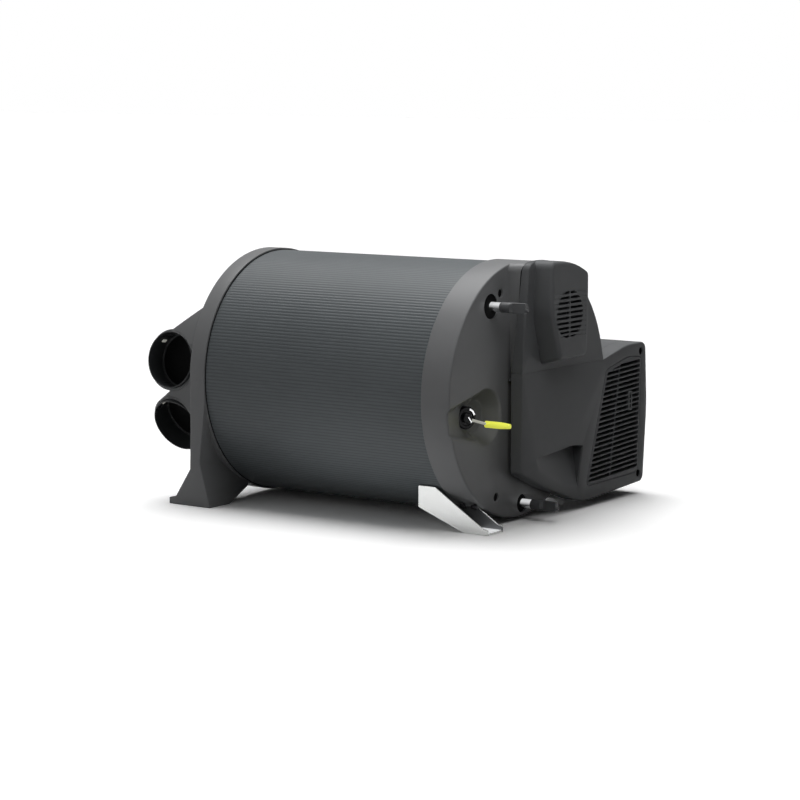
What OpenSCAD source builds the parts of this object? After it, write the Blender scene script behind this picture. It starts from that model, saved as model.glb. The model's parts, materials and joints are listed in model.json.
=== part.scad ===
// Warm-air and hot-water heater for a caravan, lying on its drum axis.
// Millimetres. The origin is on the floor, midway between the two foot holes of the warm-air end.
// +X runs along the drum to the burner end, -Y is the front, +Z is up.

/* [Drum] */
// Height of the drum axis above the floor
axis_z = 152; // [150.5:0.5:160]
// Outer radius of the drum jacket
drum_r = 145.7; // [140:0.1:147]
// Wall of the drum jacket
drum_wall = 2; // [1.5:0.1:2.4]
// Length of the jacket that shows between the end caps
drum_len = 310; // [290:1:340]
// From the foot holes to the near end of the jacket that shows
seam_x = 40; // [36:1:50]

/* [End caps] */
// Radial room between the jacket and an end cap
cap_fit = 0.2; // [0.1:0.05:0.3]
// Wall of an end cap
cap_wall = 2.1; // [1.8:0.1:3]
// How far the jacket reaches into an end cap
cap_overlap = 10; // [8:1:12]
// Thickness of an end cap's plate
plate_t = 3; // [2.5:0.1:4]
// Width of the band at the warm-air end
warm_band = 22; // [20:1:26]
// Width of the band at the burner end
burner_band = 38; // [37:1:44]
// Radius of the air opening in the plate at the warm-air end
air_open_r = 70; // [60:1:72]
// Room between pieces that are set against each other
seat_gap = 0.3; // [0.2:0.05:0.5]

/* [Feet] */
// Distance between the two foot holes
foot_span = 258; // [250:1:264]
// Radius of a foot hole
foot_hole_r = 2.75; // [2:0.05:3.5]
// Radius of the pocket for the screw head above a foot hole
foot_pocket_r = 6.5; // [5:0.5:7]
// Thickness of the foot under the screw head
foot_floor = 5; // [4:0.5:6]
// From the foot holes to the tip of the toe
toe_len = 16; // [13:1:20]
// Height of the toe
toe_h = 7; // [6.5:0.5:9]
// From the foot holes to the heel
heel_x = 47; // [44:1:52]
// Half the gap between the feet at floor level
foot_gap = 110; // [100:1:115]
// Height at which a leg starts to flare into its foot
flare_h = 46; // [40:1:60]

/* [Air outlets] */
// Inner radius of an outlet sleeve, which takes a 65 mm duct
outlet_r = 32.8; // [31:0.1:33]
// Wall of an outlet sleeve
outlet_wall = 1.2; // [1:0.1:1.4]
// Depth of the duct's seat in a sleeve
outlet_seat = 26; // [20:1:30]
// Length of a sleeve
outlet_len = 44; // [38:1:50]
// Height of the rib that stops the duct in a sleeve
outlet_stop = 2; // [1:0.5:4]
// Place of the sleeve centres along the drum, from the foot holes
outlet_x = -17; // [-20:0.5:-16]
// Upper sleeves: half the distance between the front and rear mouths
upper_reach = 142.3; // [140:0.1:150]
// Upper sleeves: height of the mouth's centre above the drum axis
upper_rise = 20.7; // [18:0.1:26]
// Upper sleeves: rise towards the mouth, in degrees
upper_tilt = 7.4; // [4:0.1:10]
// Lower sleeves: half the distance between the front and rear mouths
lower_reach = 130; // [126:0.1:136]
// Lower sleeves: depth of the mouth's centre below the drum axis
lower_drop = 60.2; // [58:0.1:64]
// Lower sleeves: fall towards the mouth, in degrees
lower_tilt = 25; // [20:0.5:28]
// Wall of the moulded covers and of the air distributor
shell = 2.5; // [2:0.1:3]
// Depth of the air distributor in front of the warm-air cap
plenum_depth = 38; // [34:1:40]
// Half the width of the air distributor between its front and rear walls
plenum_half = 140; // [137:0.5:141]

/* [Burner end] */
// Depth of the burner housing in front of the cap plate
housing_depth = 23; // [22:0.5:28]
// Further depth of the raised block on the electronics cover
block_depth = 25; // [20:1:30]
// How far the electronics cover's round top stands outside the burner cap
cover_proud = 1.5; // [0.5:0.1:3]
// Height of the joint line between the cover and the housing above the drum axis
joint_rise = 22; // [20:0.5:26]
// Place of the housing's front side wall, in front of the drum axis
side_y = 30; // [28:0.5:34]
// Width of the intake box behind the burner cap
intake_w = 106.8; // [104:0.2:114]
// Length of the intake box along the drum, with the housing in front of it
intake_len = 95; // [92:1:105]
// Depth of the hand-hold in the housing's face
hold_depth = 14; // [8:0.5:14.5]
// Extra depth of the finger slot at the end of the hand-hold
slot_extra = 3; // [1:0.5:3]

/* [Grilles] */
// Number of slots in the intake grille
slat_count = 19; // [12:1:22]
// Height of one slot in the intake grille
slat_slot = 4; // [2:0.1:4.5]
// Rise of the grille's slats towards the rear, in degrees
slat_tilt = 2.4; // [0:0.2:4]
// Room around the grille in its opening
grille_fit = 0.3; // [0.2:0.05:0.5]
// Width of the grille's frame
grille_frame = 4; // [3:0.5:6]
// Radius of the round vent in the electronics cover
vent_r = 29; // [24:0.5:31]
// Number of slot rows in the round vent
vent_rows = 10; // [6:1:12]
// Height of one slot in the round vent
vent_slot = 3; // [2:0.1:3.5]

/* [Water and fuel] */
// Radius of a water pipe
pipe_r = 5; // [4.5:0.1:5.4]
// Bore radius of a water pipe
pipe_bore = 4; // [3:0.1:4]
// Radius of a water spigot, for a 12 mm push-on connector
spigot_r = 6; // [5.8:0.1:7]
// Length of a spigot that is fully round
spigot_len = 18; // [14:1:22]
// Length of the flattened tip of a spigot
spigot_tip = 10; // [8:1:14]
// Pipe that shows between the cap plate and a spigot
pipe_shown = 13; // [10:1:16]
// Radius of the hot-water port
hot_port_r = 14.2; // [12:0.1:15]
// Radius of the cold-water port
cold_port_r = 10.5; // [9:0.1:11]
// Radial room between the jacket and the water tank
tank_room = 2.2; // [1.6:0.1:4]
// Radius of the air channel through the water tank
tank_bore = 80; // [78:0.5:86]
// Wall of the water tank
tank_wall = 2; // [1.5:0.1:3]
// Depth of the funnel around the fuel inlet
funnel_depth = 18; // [14:0.5:20]
// Radius of the fuel inlet fitting
fitting_r = 12; // [10:0.5:13]
// Radius of the fuel nipple
nipple_r = 2; // [1.5:0.1:2.5]
// Radius of the fuel cap
fuel_cap_r = 3.8; // [3.4:0.1:5]
// Length of the fuel cap
fuel_cap_len = 32; // [26:1:36]

/* [Fans] */
// Radius of the circulation fan wheel
circ_r = 42; // [36:0.5:43]
// Length of the circulation fan wheel
circ_len = 34; // [26:1:36]
// Radius of the combustion fan wheel
comb_r = 35; // [30:0.5:36]
// Length of the combustion fan wheel
comb_len = 11; // [8:0.5:12]
// Radius of a fan shaft
shaft_r = 3; // [2.5:0.1:3.5]
// Radial room of a shaft in its motor
shaft_fit = 0.05; // [0.02:0.01:0.08]

/* [Brackets] */
// Place of a bracket's outer flange, from the drum axis
bracket_y = 106; // [105:0.5:110]
// Width of a bracket over its flanges
bracket_w = 32; // [28:0.5:36]
// Thickness of the bracket's sheet
sheet = 2; // [1.5:0.1:2.2]
// How far a bracket stands out past the burner cap
bracket_out = 24; // [22:0.5:28]
// Radius of a bracket's floor hole
bracket_hole_r = 2.75; // [2:0.05:3.5]

/* [Hidden] */
$fn = 96;

// A length that takes a cut past a face
past = 1;
// Room of fixed pieces on each other
snug = 0.02;

// Radii, and stations along the drum
cap_bore = drum_r + cap_fit;
cap_r = cap_bore + cap_wall;
warm_x = seam_x - warm_band;
warm_inner_x = warm_x + plate_t;
band_x = seam_x + drum_len;
cap_x = band_x + burner_band;
plate_x = cap_x - plate_t;
face_x = cap_x + housing_depth;
block_x = face_x + block_depth;
housing_x = cap_x + seat_gap;
joint_z = axis_z + joint_rise;
base_z = axis_z - cap_r;
box_x = face_x - intake_len;
box_y = cap_r + seat_gap;
intake_y = cap_r + intake_w;

// Legs of the warm-air cap
leg_straight = 60;
leg_waist = 9;
leg_draft = 5;
heel_h = 9;
toe_root = toe_len - 7;
arch_y = 63;
arch_z = axis_z - sqrt(cap_r * cap_r - arch_y * arch_y);

// Air distributor, with the heights of its sloping top above the drum axis
plenum_x = warm_x - plenum_depth;
plenum_r = cap_r - 2;
plenum_low = axis_z - 75;
plenum_far_h = 55;
plenum_near_h = 84;
plenum_edge = 8;
stub_bore = outlet_r + outlet_wall + seat_gap;
stub_r = stub_bore + shell;
stub_back = 5;
stub_room = 6;
distributor_screw_at = [[60, axis_z - 64], [70, axis_z + 45]];
column_r = 5;

// A place [y, z] on the burner end, a turn from upright in degrees and so far inside the jacket's radius
function port(turn, inward) = [(drum_r - inward) * sin(turn), axis_z + (drum_r - inward) * cos(turn)];

// Ports in the burner cap, as [y, z]
hot_at = port(-32.4, 26.9);
cold_at = port(178.2, 12.6);
fuel_out = 82.2;
fuel_at = port(-108.4, drum_r - fuel_out);
small_holes = [port(-21.2, 23.8), port(-156.7, 16.6)];
small_hole_r = 5;
small_hole_depth = 9;
funnel_r = 32;
funnel_floor_r = 19;
trough_half = funnel_r - 3;
trough_mouth = 13;
funnel_lip = 2.5;
funnel_x = cap_x - funnel_depth;
fitting_h = 8;
fitting_nose = 4;
nipple_at = fuel_at - [0, 5];
nipple_x = funnel_x - shell - 6;
nipple_end = cap_x + 16;
fuel_cap_x = cap_x + 3;

// Collar of the burner cap, whose oblique edge carries the cover, and the rise of the block's underside
collar_rise = 16;
collar_w = 9;
block_rise = 15;

// Shadow groove between the burner cap and the housing, and the hand-hold's stations along Y
groove_w = 5;
groove_d = 3;
hold_from = -6;
hold_deep_y = 76;
hold_to = 104;

// Grilles: foot of the intake grille, and the round vent's centre
grille_low = base_z + 22;
grille_mid = intake_y - 80;
vent_at = [27.8, axis_z + 86];
vent_bar = 2;

// Fan axes, as [y, z]
comb_at = [64, axis_z - 30];
circ_at = [(box_y + intake_y) / 2 - 1, axis_z - 54];
comb_gap = 3;
scroll_wall = 2;
scroll_r = comb_r + 3;
scroll_depth = comb_len + 2 * comb_gap;
air_hole = [34.5, axis_z - 16];
air_hole_r = 5;
motor_r = 20;
motor_len = 30;
circ_x = box_x + shell + motor_len + 2;
comb_x = cap_x + comb_gap;
hub_part = 0.7;
disc_t = 2;
blade_t = 1.2;
blade_lean = 30;
circ_blades = 24;
circ_blade_w = 11;
comb_blades = 18;
comb_blade_w = 9;

// Burner and heat exchanger
burner_x = band_x - 5;
flange_t = 4;
flange_r = 75;
burner_r = 46;
burner_wall = 2;
core_r = 56;
core_bore = 52;
fin_r = 76;
fin_count = 20;
fin_t = 2;
exchanger_x = seam_x + 30;
chamber_x = seam_x + 80;
post_r = 5;
post_at = 66;
post_count = 3;
nozzle_len = 20;
glow_r = 3;
glow_at = [22, axis_z];
glow_head = 8;
glow_tail = 14;
glow_tip = 6;

// Flue and combustion air spigots, as radii and the places of their bends
duct_r = 11;
duct_bore = 9.5;
duct_free = 22;
bead_y = cap_r + 2;
bead_w = 3;
bead_r = duct_r + 2;
duct_reach = bead_y + bead_w + duct_free;
duct_x = (band_x + cap_overlap + plate_x) / 2;
exhaust_y = 30;
exhaust_low = axis_z + 50.5;
exhaust_z = axis_z + 82;
air_y = drum_r - 27.7;
air_low = axis_z - 12;
air_z = axis_z + 52;

// Water tank and its pipes
tank_r = drum_r - drum_wall - tank_room;
tank_x = seam_x + 12;
tank_end = band_x - 38;
ring_w = 14;
spigot_x = cap_x + pipe_shown;
spigot_nub = 3;
sensor_at = port(56.3, 37.5);
sensor_r = 6;
sensor_len = 16;

// Window that lets the circulated air into the drum
window_x = box_x + shell + 2;
window_w = 26;
window_low = axis_z - 82;
window_h = 100;

// Control board, as [y, z] of its low front corner
board_at = [-5, joint_z + 12];
board_w = 90;
board_room = 1;
board_top = sqrt(pow(cap_r - collar_w - board_room, 2) - pow(board_at[0] + board_w, 2));
board_h = axis_z + board_top - board_at[1];
board_off = 8;
board_t = 1.6;
board_inset = 5;
boss_r = 3.5;
chip_count = 4;
chip_at = [14, 34];
chip_pitch = 17;
chip_w = 12;
chip_len = 18;
chip_h = 6;
terminal_at = [14, 12];
terminal_count = 8;
terminal_pitch = 7;
terminal_w = 12;
terminal_h = 8;
terminal_r = 1.6;

// Overheat switch and its button
switch_at = port(64.7, 21.8);
switch_r = 9;
switch_h = 10;
button_r = 3;
button_up = 5;
button_in = 5;
button_travel = 2;

// Screws
head_r = 4;
head_h = 2.5;
screw_r = 1.8;
screw_room = 0.2;
housing_screw_at = [[intake_y - 17, joint_z + 1.5], [intake_y - 20, base_z + 21]];
notch_r = 4.6;
notch_depth = 4;
housing_boss = 14;

// Brackets: the channel's stations, and the screws through the tongue that hugs the burner cap
bracket_mid = bracket_y - bracket_w / 2;
bracket_inner = bracket_y - bracket_w;
bracket_root = 32;
bracket_root_z = base_z + 19.3;
bracket_bend = 9;
bracket_toe_h = 6;
bracket_toe_len = 7;
bracket_lip = 1.5;
bracket_shoulder = 9;
bracket_top = axis_z - sqrt(pow(drum_r + seat_gap, 2) - bracket_y * bracket_y) - 3;
bracket_turn_x = (plate_x + past + band_x - bracket_root) / 2;
bracket_hole_x = cap_x + bracket_out / 3;
bracket_screw_y = bracket_y - bracket_w * 0.75;
bracket_angle = asin(bracket_screw_y / cap_r);
bracket_screw_x = [band_x + cap_overlap + boss_r + 1, plate_x - boss_r - 2];
tongue_r = cap_r + seat_gap;
boss_h = 9;
driver_room = 1;

// Direction of a vector
function unit(v) = v / norm(v);

function reverse(p) = [for (i = [len(p) - 1:-1:0]) p[i]];

// A closed outline of corners [u, v, r], each rounded by an arc of radius r
function rounded(p, steps = 8) = [for (i = [0:len(p) - 1])
    let (a = p[(i + len(p) - 1) % len(p)], b = p[i], c = p[(i + 1) % len(p)])
    let (at = [b[0], b[1]], r = b[2])
    let (to_a = unit([a[0], a[1]] - at), to_c = unit([c[0], c[1]] - at))
    let (half = acos(max(-1, min(1, to_a * to_c))) / 2)
    let (mid = at + unit(to_a + to_c) * r / sin(half))
    let (from = at + to_a * r / tan(half) - mid, to = at + to_c * r / tan(half) - mid)
    let (start = atan2(from[1], from[0]))
    let (turn = (atan2(to[1], to[0]) - start + 540) % 360 - 180)
    each (r <= 0 ? [at] : [for (k = [0:steps])
        mid + r * [cos(start + turn * k / steps), sin(start + turn * k / steps)]])];

// A counter-clockwise outline moved inwards by d, its corner radii with it
function inset(p, d) = [for (i = [0:len(p) - 1])
    let (a = p[(i + len(p) - 1) % len(p)], b = p[i], c = p[(i + 1) % len(p)])
    let (ab = unit([b[0] - a[0], b[1] - a[1]]), bc = unit([c[0] - b[0], c[1] - b[1]]))
    let (na = [-ab[1], ab[0]], nc = [-bc[1], bc[0]])
    let (at = [b[0], b[1]] + (na + nc) * d / (1 + na * nc))
    let (bend = ab[0] * bc[1] - ab[1] * bc[0] >= 0 ? 1 : -1)
    [at[0], at[1], b[2] <= 0 ? 0 : max(0.2, b[2] - bend * d)]];

// A quarter of an ellipse that leaves a upright and comes in flat at b
function flare(a, b, steps = 10) = [for (k = [0:steps])
    [a[0] + (b[0] - a[0]) * (1 - cos(90 * k / steps)), a[1] + (b[1] - a[1]) * sin(90 * k / steps)]];

// Side view of a leg, down its near side to the toe and up from the heel
function leg_profile() = concat(
    [[warm_x, axis_z], [warm_x, axis_z - leg_straight]],
    flare([warm_x - 1, flare_h], [-toe_root, toe_h]),
    [[-toe_len, toe_h], [-toe_len, 0], [heel_x, 0]],
    reverse(flare([seam_x - leg_waist, flare_h], [heel_x, heel_h])),
    [[seam_x - leg_draft, axis_z - leg_straight], [seam_x, axis_z]]);

// Front view of the burner housing, with the intake box on the right
function housing_outline() = [
    [-side_y, axis_z - 90, 10], [2, base_z + 33, 50], [cap_r - 48, base_z + 4, 120],
    [intake_y - 7.8, base_z + 10.5, 9], [intake_y, axis_z - 44, 250],
    [intake_y - 4.8, joint_z + 12.5, 10], [intake_y - 50, joint_z + 12.5, 120],
    [box_y, joint_z, 0], [-side_y, joint_z, 4]];

// Front view of the intake grille
function grille_outline() = [
    [intake_y - 145.3, grille_low, 4], [intake_y - 23.8, grille_low + 1.5, 4],
    [intake_y - 19.3, joint_z - 4, 4], [intake_y - 50, joint_z - 2, 60],
    [intake_y - 99.8, joint_z - 13.4, 6]];

// Front view of the hand-hold, and of the finger slot at its deep end
function hold_outline() = [[-4, axis_z - 79, 3], [4, base_z + 54, 8], [56, base_z + 29, 40],
    [90, base_z + 24, 2], [102, axis_z - 76, 2], [76, axis_z - 73, 2]];
function slot_outline() = [[76, axis_z - 73, 1], [88, base_z + 26, 1.5], [92, base_z + 26, 1.5],
    [102, axis_z - 76, 2]];

// Front view of the raised block on the electronics cover
function block_outline() = [[-2, joint_z + 4, 3], [66, joint_z + 4, 8], [69, joint_z + 60, 20],
    [69, axis_z + 2 * cap_r, 0], [-8, axis_z + 2 * cap_r, 0], [-8, joint_z + 66, 40]];

// Extrudes a (y, z) outline along X
module along_x(from, to) {
    translate([from, 0, 0]) rotate([90, 0, 90]) linear_extrude(to - from) children();
}

// Extrudes an (x, z) outline along Y
module along_y(from, to) {
    translate([0, to, 0]) rotate([90, 0, 0]) linear_extrude(to - from) children();
}

module rod_x(at, r, from, to) {
    translate([from, at[0], at[1]]) rotate([0, 90, 0]) cylinder(r = r, h = to - from);
}

module rod_y(x, z, r, from, to) {
    translate([x, from, z]) rotate([-90, 0, 0]) cylinder(r = r, h = to - from);
}

module rod_z(x, y, r, from, to) {
    translate([x, y, from]) cylinder(r = r, h = to - from);
}

module on_axis(r, from, to) {
    rod_x([0, axis_z], r, from, to);
}

module pipe_x(at, r, bore, from, to) {
    difference() {
        rod_x(at, r, from, to);
        rod_x(at, bore, from - past, to + past);
    }
}

// A frustum along X about a point [y, z]
module cone_x(at, r1, r2, from, to) {
    translate([from, at[0], at[1]]) rotate([0, 90, 0]) cylinder(r1 = r1, r2 = r2, h = to - from);
}

module both_sides() {
    children();
    mirror([0, 1, 0]) children();
}

// A box between two opposite corners
module block(low, high) {
    translate(low) cube(high - low);
}

// Puts a sleeve's own Z along its duct, with the mouth at the origin
module at_outlet(reach, z, tilt) {
    translate([outlet_x, -reach, z]) rotate([90 - tilt, 0, 0]) children();
}

module at_upper() {
    at_outlet(upper_reach, axis_z + upper_rise, upper_tilt) children();
}

module at_lower() {
    at_outlet(lower_reach, axis_z - lower_drop, -lower_tilt) children();
}

module each_outlet() {
    both_sides() {
        at_upper() children();
        at_lower() children();
    }
}

// Puts a piece's own -Z along the front bracket's radius
module at_bracket(x) {
    translate([x, 0, axis_z]) rotate([-bracket_angle, 0, 0]) children();
}

module air_window() {
    block([window_x, 0, window_low], [window_x + window_w, box_y + shell + past, window_low + window_h]);
}

module drum_jacket() {
    color("#484c4f") difference() {
        on_axis(drum_r, seam_x - cap_overlap, band_x + cap_overlap);
        on_axis(drum_r - drum_wall, seam_x - cap_overlap - past, band_x + cap_overlap + past);
        air_window();
    }
}

// One leg: the front view between the drum and the floor, cut to the side view
module leg() {
    difference() {
        intersection() {
            along_x(-toe_len - past, heel_x + past)
                polygon([[0, axis_z], [-cap_r, axis_z], [-cap_r, 0], [-foot_gap, 0], [-arch_y, arch_z]]);
            along_y(-cap_r - past, 0) polygon(leg_profile());
        }
        on_axis(cap_r, -toe_len - past, warm_x);
        on_axis(cap_r + seat_gap, seam_x, heel_x + past);
        rod_z(0, -foot_span / 2, foot_hole_r, -past, foot_floor + past);
        rod_z(0, -foot_span / 2, foot_pocket_r, foot_floor, flare_h + past);
    }
}

module warm_air_end_cap() {
    color("#5c5d5f") difference() {
        union() {
            on_axis(cap_r, warm_x, seam_x);
            both_sides() leg();
        }
        on_axis(cap_bore, warm_inner_x, heel_x + past);
        on_axis(air_open_r, warm_x - past, warm_inner_x + past);
        both_sides() for (at = distributor_screw_at)
            rod_x(at, screw_r + screw_room, warm_x - past, warm_inner_x + past);
    }
}

// Side view of the air distributor, reaching past its open side
function plenum_side() =
    let (open_x = warm_x + 2 * shell, slope = (plenum_near_h - plenum_far_h) / plenum_depth)
    [[plenum_x, plenum_low, plenum_edge], [open_x, plenum_low, 0],
    [open_x, axis_z + plenum_far_h + slope * (open_x - plenum_x), 0],
    [plenum_x, axis_z + plenum_far_h, plenum_edge]];

// Outside of the air distributor, or its hollow when inset by a wall
module plenum(wall, to) {
    intersection() {
        on_axis(plenum_r - wall, plenum_x + wall, to);
        along_y(wall - plenum_half, plenum_half - wall) polygon(rounded(inset(plenum_side(), wall)));
    }
}

module air_distributor() {
    stub_len = outlet_len + stub_room;
    color("#505255") difference() {
        union() {
            difference() {
                union() {
                    plenum(0, warm_x);
                    each_outlet() translate([0, 0, -stub_len - shell])
                        cylinder(r = stub_r, h = stub_len + shell - stub_back);
                }
                plenum(shell, warm_x + past);
            }
            both_sides() for (at = distributor_screw_at) rod_x(at, column_r, plenum_x, warm_x);
            intersection() {
                plenum(0, warm_x);
                block([plenum_x, -shell / 2, 0], [warm_x, shell / 2, 2 * axis_z]);
            }
        }
        each_outlet() translate([0, 0, -stub_len]) cylinder(r = stub_bore, h = 2 * outlet_len);
        both_sides() for (at = distributor_screw_at)
            rod_x(at, screw_r + screw_room, plenum_x - past, warm_x + past);
        block([warm_x, -2 * cap_r, 0], [warm_x + stub_r, 2 * cap_r, 2 * axis_z]);
    }
}

module distributor_screws() {
    color("silver") both_sides() for (at = distributor_screw_at) {
        rod_x(at, screw_r, plenum_x - past, warm_inner_x);
        rod_x(at, head_r, plenum_x - head_h, plenum_x);
    }
}

module outlet_sleeve() {
    color("#17181a") difference() {
        translate([0, 0, -outlet_len]) cylinder(r = outlet_r + outlet_wall, h = outlet_len);
        translate([0, 0, -outlet_seat]) cylinder(r = outlet_r, h = outlet_seat + past);
        translate([0, 0, -outlet_len - past]) cylinder(r = outlet_r - outlet_stop, h = outlet_len);
        translate([0, 0, -outlet_len - past])
            cylinder(r = outlet_r, h = outlet_len + past - outlet_seat - outlet_stop);
    }
}

module outlet_front_upper() {
    at_upper() outlet_sleeve();
}

// The inner end of a lower sleeve is notched round the upper one
module outlet_front_lower() {
    difference() {
        at_lower() outlet_sleeve();
        at_upper() translate([0, 0, -2 * outlet_len])
            cylinder(r = outlet_r + outlet_wall + seat_gap, h = 2 * outlet_len);
    }
}

module outlet_rear_upper() {
    mirror([0, 1, 0]) outlet_front_upper();
}

module outlet_rear_lower() {
    mirror([0, 1, 0]) outlet_front_lower();
}

// The funnel about the fuel inlet and the trough that runs from it over the rim, grown by a wall
module funnel(wall) {
    slope = (funnel_r - funnel_floor_r) / funnel_depth;
    rim = -cap_r - past;
    half = trough_half + wall;
    mouth = trough_mouth + wall;
    cone_x(fuel_at, funnel_floor_r + wall, funnel_r + wall + slope * past, funnel_x - wall, cap_x + past);
    intersection() {
        along_x(funnel_x - wall, cap_x + past) translate([0, fuel_at[1]])
            polygon([[fuel_at[0], -half], [fuel_at[0], half], [rim, mouth], [rim, -mouth]]);
        translate([0, 0, fuel_at[1] - 2 * funnel_r]) linear_extrude(4 * funnel_r)
            polygon([[cap_x + past, rim], [cap_x - funnel_lip - wall, rim],
                [funnel_x - wall, fuel_at[0]], [cap_x + past, fuel_at[0]]]);
    }
}

// The part of the burner cap that rises in front of its plate under the electronics cover
module collar() {
    top = axis_z + cap_r;
    intersection() {
        difference() {
            along_x(plate_x, cap_x + collar_rise) translate([0, axis_z]) circle(r = cap_r);
            along_x(plate_x - past, cap_x + collar_rise + past) intersection() {
                translate([0, axis_z]) circle(r = cap_r - collar_w);
                translate([collar_w - side_y, axis_z - collar_w]) square(2 * cap_r);
            }
        }
        along_y(-side_y, cap_r) polygon([[plate_x, joint_z], [cap_x, joint_z], [cap_x + collar_rise, top],
            [cap_x + collar_rise, top + past], [plate_x, top + past]]);
    }
}

module bracket_bosses(r, from, to) {
    both_sides() for (x = bracket_screw_x) at_bracket(x) translate([0, 0, -to])
        cylinder(r = r, h = to - from);
}

module board_corners() {
    for (dy = [board_inset, board_w - board_inset], dz = [board_inset, board_h - board_inset])
        translate([0, board_at[0] + dy, board_at[1] + dz]) children();
}

module burner_end_cap() {
    color("#5c5d5f") difference() {
        union() {
            difference() {
                on_axis(cap_r, band_x, cap_x);
                on_axis(cap_bore, band_x - past, plate_x);
            }
            intersection() {
                funnel(shell);
                on_axis(cap_r, band_x, cap_x);
            }
            collar();
            for (at = small_holes)
                rod_x(at, small_hole_r + shell, plate_x - small_hole_depth, plate_x + past);
            bracket_bosses(boss_r, cap_bore - boss_h, cap_bore + past);
            board_corners() rod_x([0, 0], boss_r, plate_x, cap_x + board_off);
        }
        funnel(0);
        rod_x(hot_at, hot_port_r, plate_x - past, cap_x + past);
        rod_x(cold_at, cold_port_r, plate_x - past, cap_x + past);
        for (at = small_holes)
            rod_x(at, small_hole_r, plate_x - small_hole_depth + shell, cap_x + past);
        rod_x(nipple_at, nipple_r + seat_gap, nipple_x, cap_x);
        rod_x(comb_at, shaft_r + past, plate_x - past, cap_x + past);
        rod_x(air_hole, air_hole_r, plate_x - past, cap_x + past);
        rod_x([air_y, air_low], duct_r + seat_gap, plate_x - past, cap_x + past);
        rod_y(duct_x, exhaust_z, duct_r + seat_gap, 0, cap_r + past);
        rod_y(duct_x, air_z, duct_r + seat_gap, 0, cap_r + past);
        bracket_bosses(screw_r + screw_room, cap_bore - boss_h - past, cap_r + past);
        board_corners() rod_x([0, 0], screw_r + screw_room, cap_x - past, cap_x + board_off + past);
    }
}

// The hand-hold and its finger slot, grown by a wall
module hold(wall) {
    deep = hold_depth + slot_extra + wall;
    ramp_x = face_x - hold_depth - wall;
    intersection() {
        along_x(face_x - deep, face_x + past) polygon(rounded(inset(hold_outline(), -wall)));
        translate([0, 0, axis_z - cap_r]) linear_extrude(cap_r)
            polygon([[face_x + past, hold_from - wall], [face_x - wall, hold_from - wall],
                [ramp_x, hold_deep_y], [ramp_x, hold_to + wall], [face_x + past, hold_to + wall]]);
    }
    along_x(face_x - deep, face_x + past) polygon(rounded(inset(slot_outline(), -wall)));
}

// Extrudes the housing's outline, inset by a wall
module housing_form(wall, from, to) {
    along_x(from, to) polygon(rounded(inset(housing_outline(), wall)));
}

// The space behind the drum, where the housing meets the intake box
module behind_drum() {
    block([box_x, box_y, 0], [face_x, intake_y + past, 2 * axis_z]);
}

module burner_housing() {
    color("#343638") difference() {
        union() {
            difference() {
                union() {
                    housing_form(0, cap_x + groove_w, face_x);
                    housing_form(groove_d, housing_x, face_x);
                    intersection() {
                        housing_form(0, housing_x, face_x);
                        behind_drum();
                    }
                }
                housing_form(groove_d + shell, housing_x - past, face_x - shell);
                housing_form(shell, cap_x + groove_w + shell, face_x - shell);
                intersection() {
                    housing_form(shell, housing_x - past, face_x - shell);
                    translate([-past, shell, 0]) behind_drum();
                }
            }
            intersection() {
                along_x(face_x - shell - grille_frame / 2, face_x)
                    polygon(rounded(inset(grille_outline(), -shell)));
                housing_form(0, housing_x, face_x);
            }
            intersection() {
                hold(shell);
                housing_form(0, cap_x + groove_w, face_x);
            }
            for (at = housing_screw_at) rod_x(at, notch_r + shell, housing_x, face_x);
        }
        along_x(face_x - shell, face_x + past) polygon(rounded(inset(grille_outline(), -grille_fit)));
        along_x(housing_x - past, face_x) polygon(rounded(inset(grille_outline(), grille_frame - past)));
        hold(0);
        for (at = housing_screw_at) {
            rod_x(at, notch_r, face_x - notch_depth, face_x + past);
            rod_x(at, screw_r + screw_room, housing_x - past, face_x);
        }
    }
}

// The part of the housing's outline that lies behind the drum
module box_outline(wall) {
    intersection() {
        polygon(rounded(inset(housing_outline(), wall)));
        translate([box_y + wall, 0]) square(intake_y);
    }
}

// The neck between the intake box and the drum, around the air window
module window_neck() {
    difference() {
        block([window_x - shell, axis_z / 2, window_low - shell],
            [window_x + window_w + shell, box_y + shell, window_low + window_h + shell]);
        on_axis(drum_r + seat_gap, box_x - past, band_x + past);
    }
}

module intake_box() {
    color("#343638") difference() {
        union() {
            difference() {
                along_x(box_x, cap_x) box_outline(0);
                along_x(box_x + shell, cap_x + past) box_outline(shell);
            }
            for (at = housing_screw_at) intersection() {
                union() {
                    rod_x(at, notch_r + shell, cap_x - housing_boss, cap_x);
                    translate([cap_x - housing_boss, at[0], at[1] - shell / 2])
                        cube([housing_boss, intake_y, shell]);
                }
                along_x(box_x, cap_x) box_outline(0);
            }
            window_neck();
        }
        for (at = housing_screw_at)
            rod_x(at, screw_r + screw_room, cap_x - housing_boss - past, cap_x + past);
        air_window();
    }
}

module housing_screws() {
    color("#222426") for (at = housing_screw_at) {
        rod_x(at, screw_r, cap_x - housing_boss + past, face_x - notch_depth + past);
        rod_x(at, head_r, face_x - notch_depth, face_x - notch_depth + head_h);
    }
}

// Solid form of the electronics cover, inset by a wall
module cover_form(wall) {
    along_x(cap_x, face_x - wall) intersection() {
        translate([0, axis_z]) circle(r = cap_r + cover_proud - wall);
        translate([-side_y + wall, joint_z + seat_gap]) square(2 * cap_r);
    }
    difference() {
        along_x(cap_x, block_x - wall) intersection() {
            translate([0, axis_z]) circle(r = cap_r + cover_proud - wall);
            polygon(rounded(inset(block_outline(), wall)));
        }
        along_y(-cap_r, cap_r) polygon([[face_x - wall, joint_z - past], [block_x + past, joint_z - past],
            [block_x + past, joint_z + block_rise + wall], [face_x - wall, joint_z + seat_gap + wall]]);
    }
}

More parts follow.
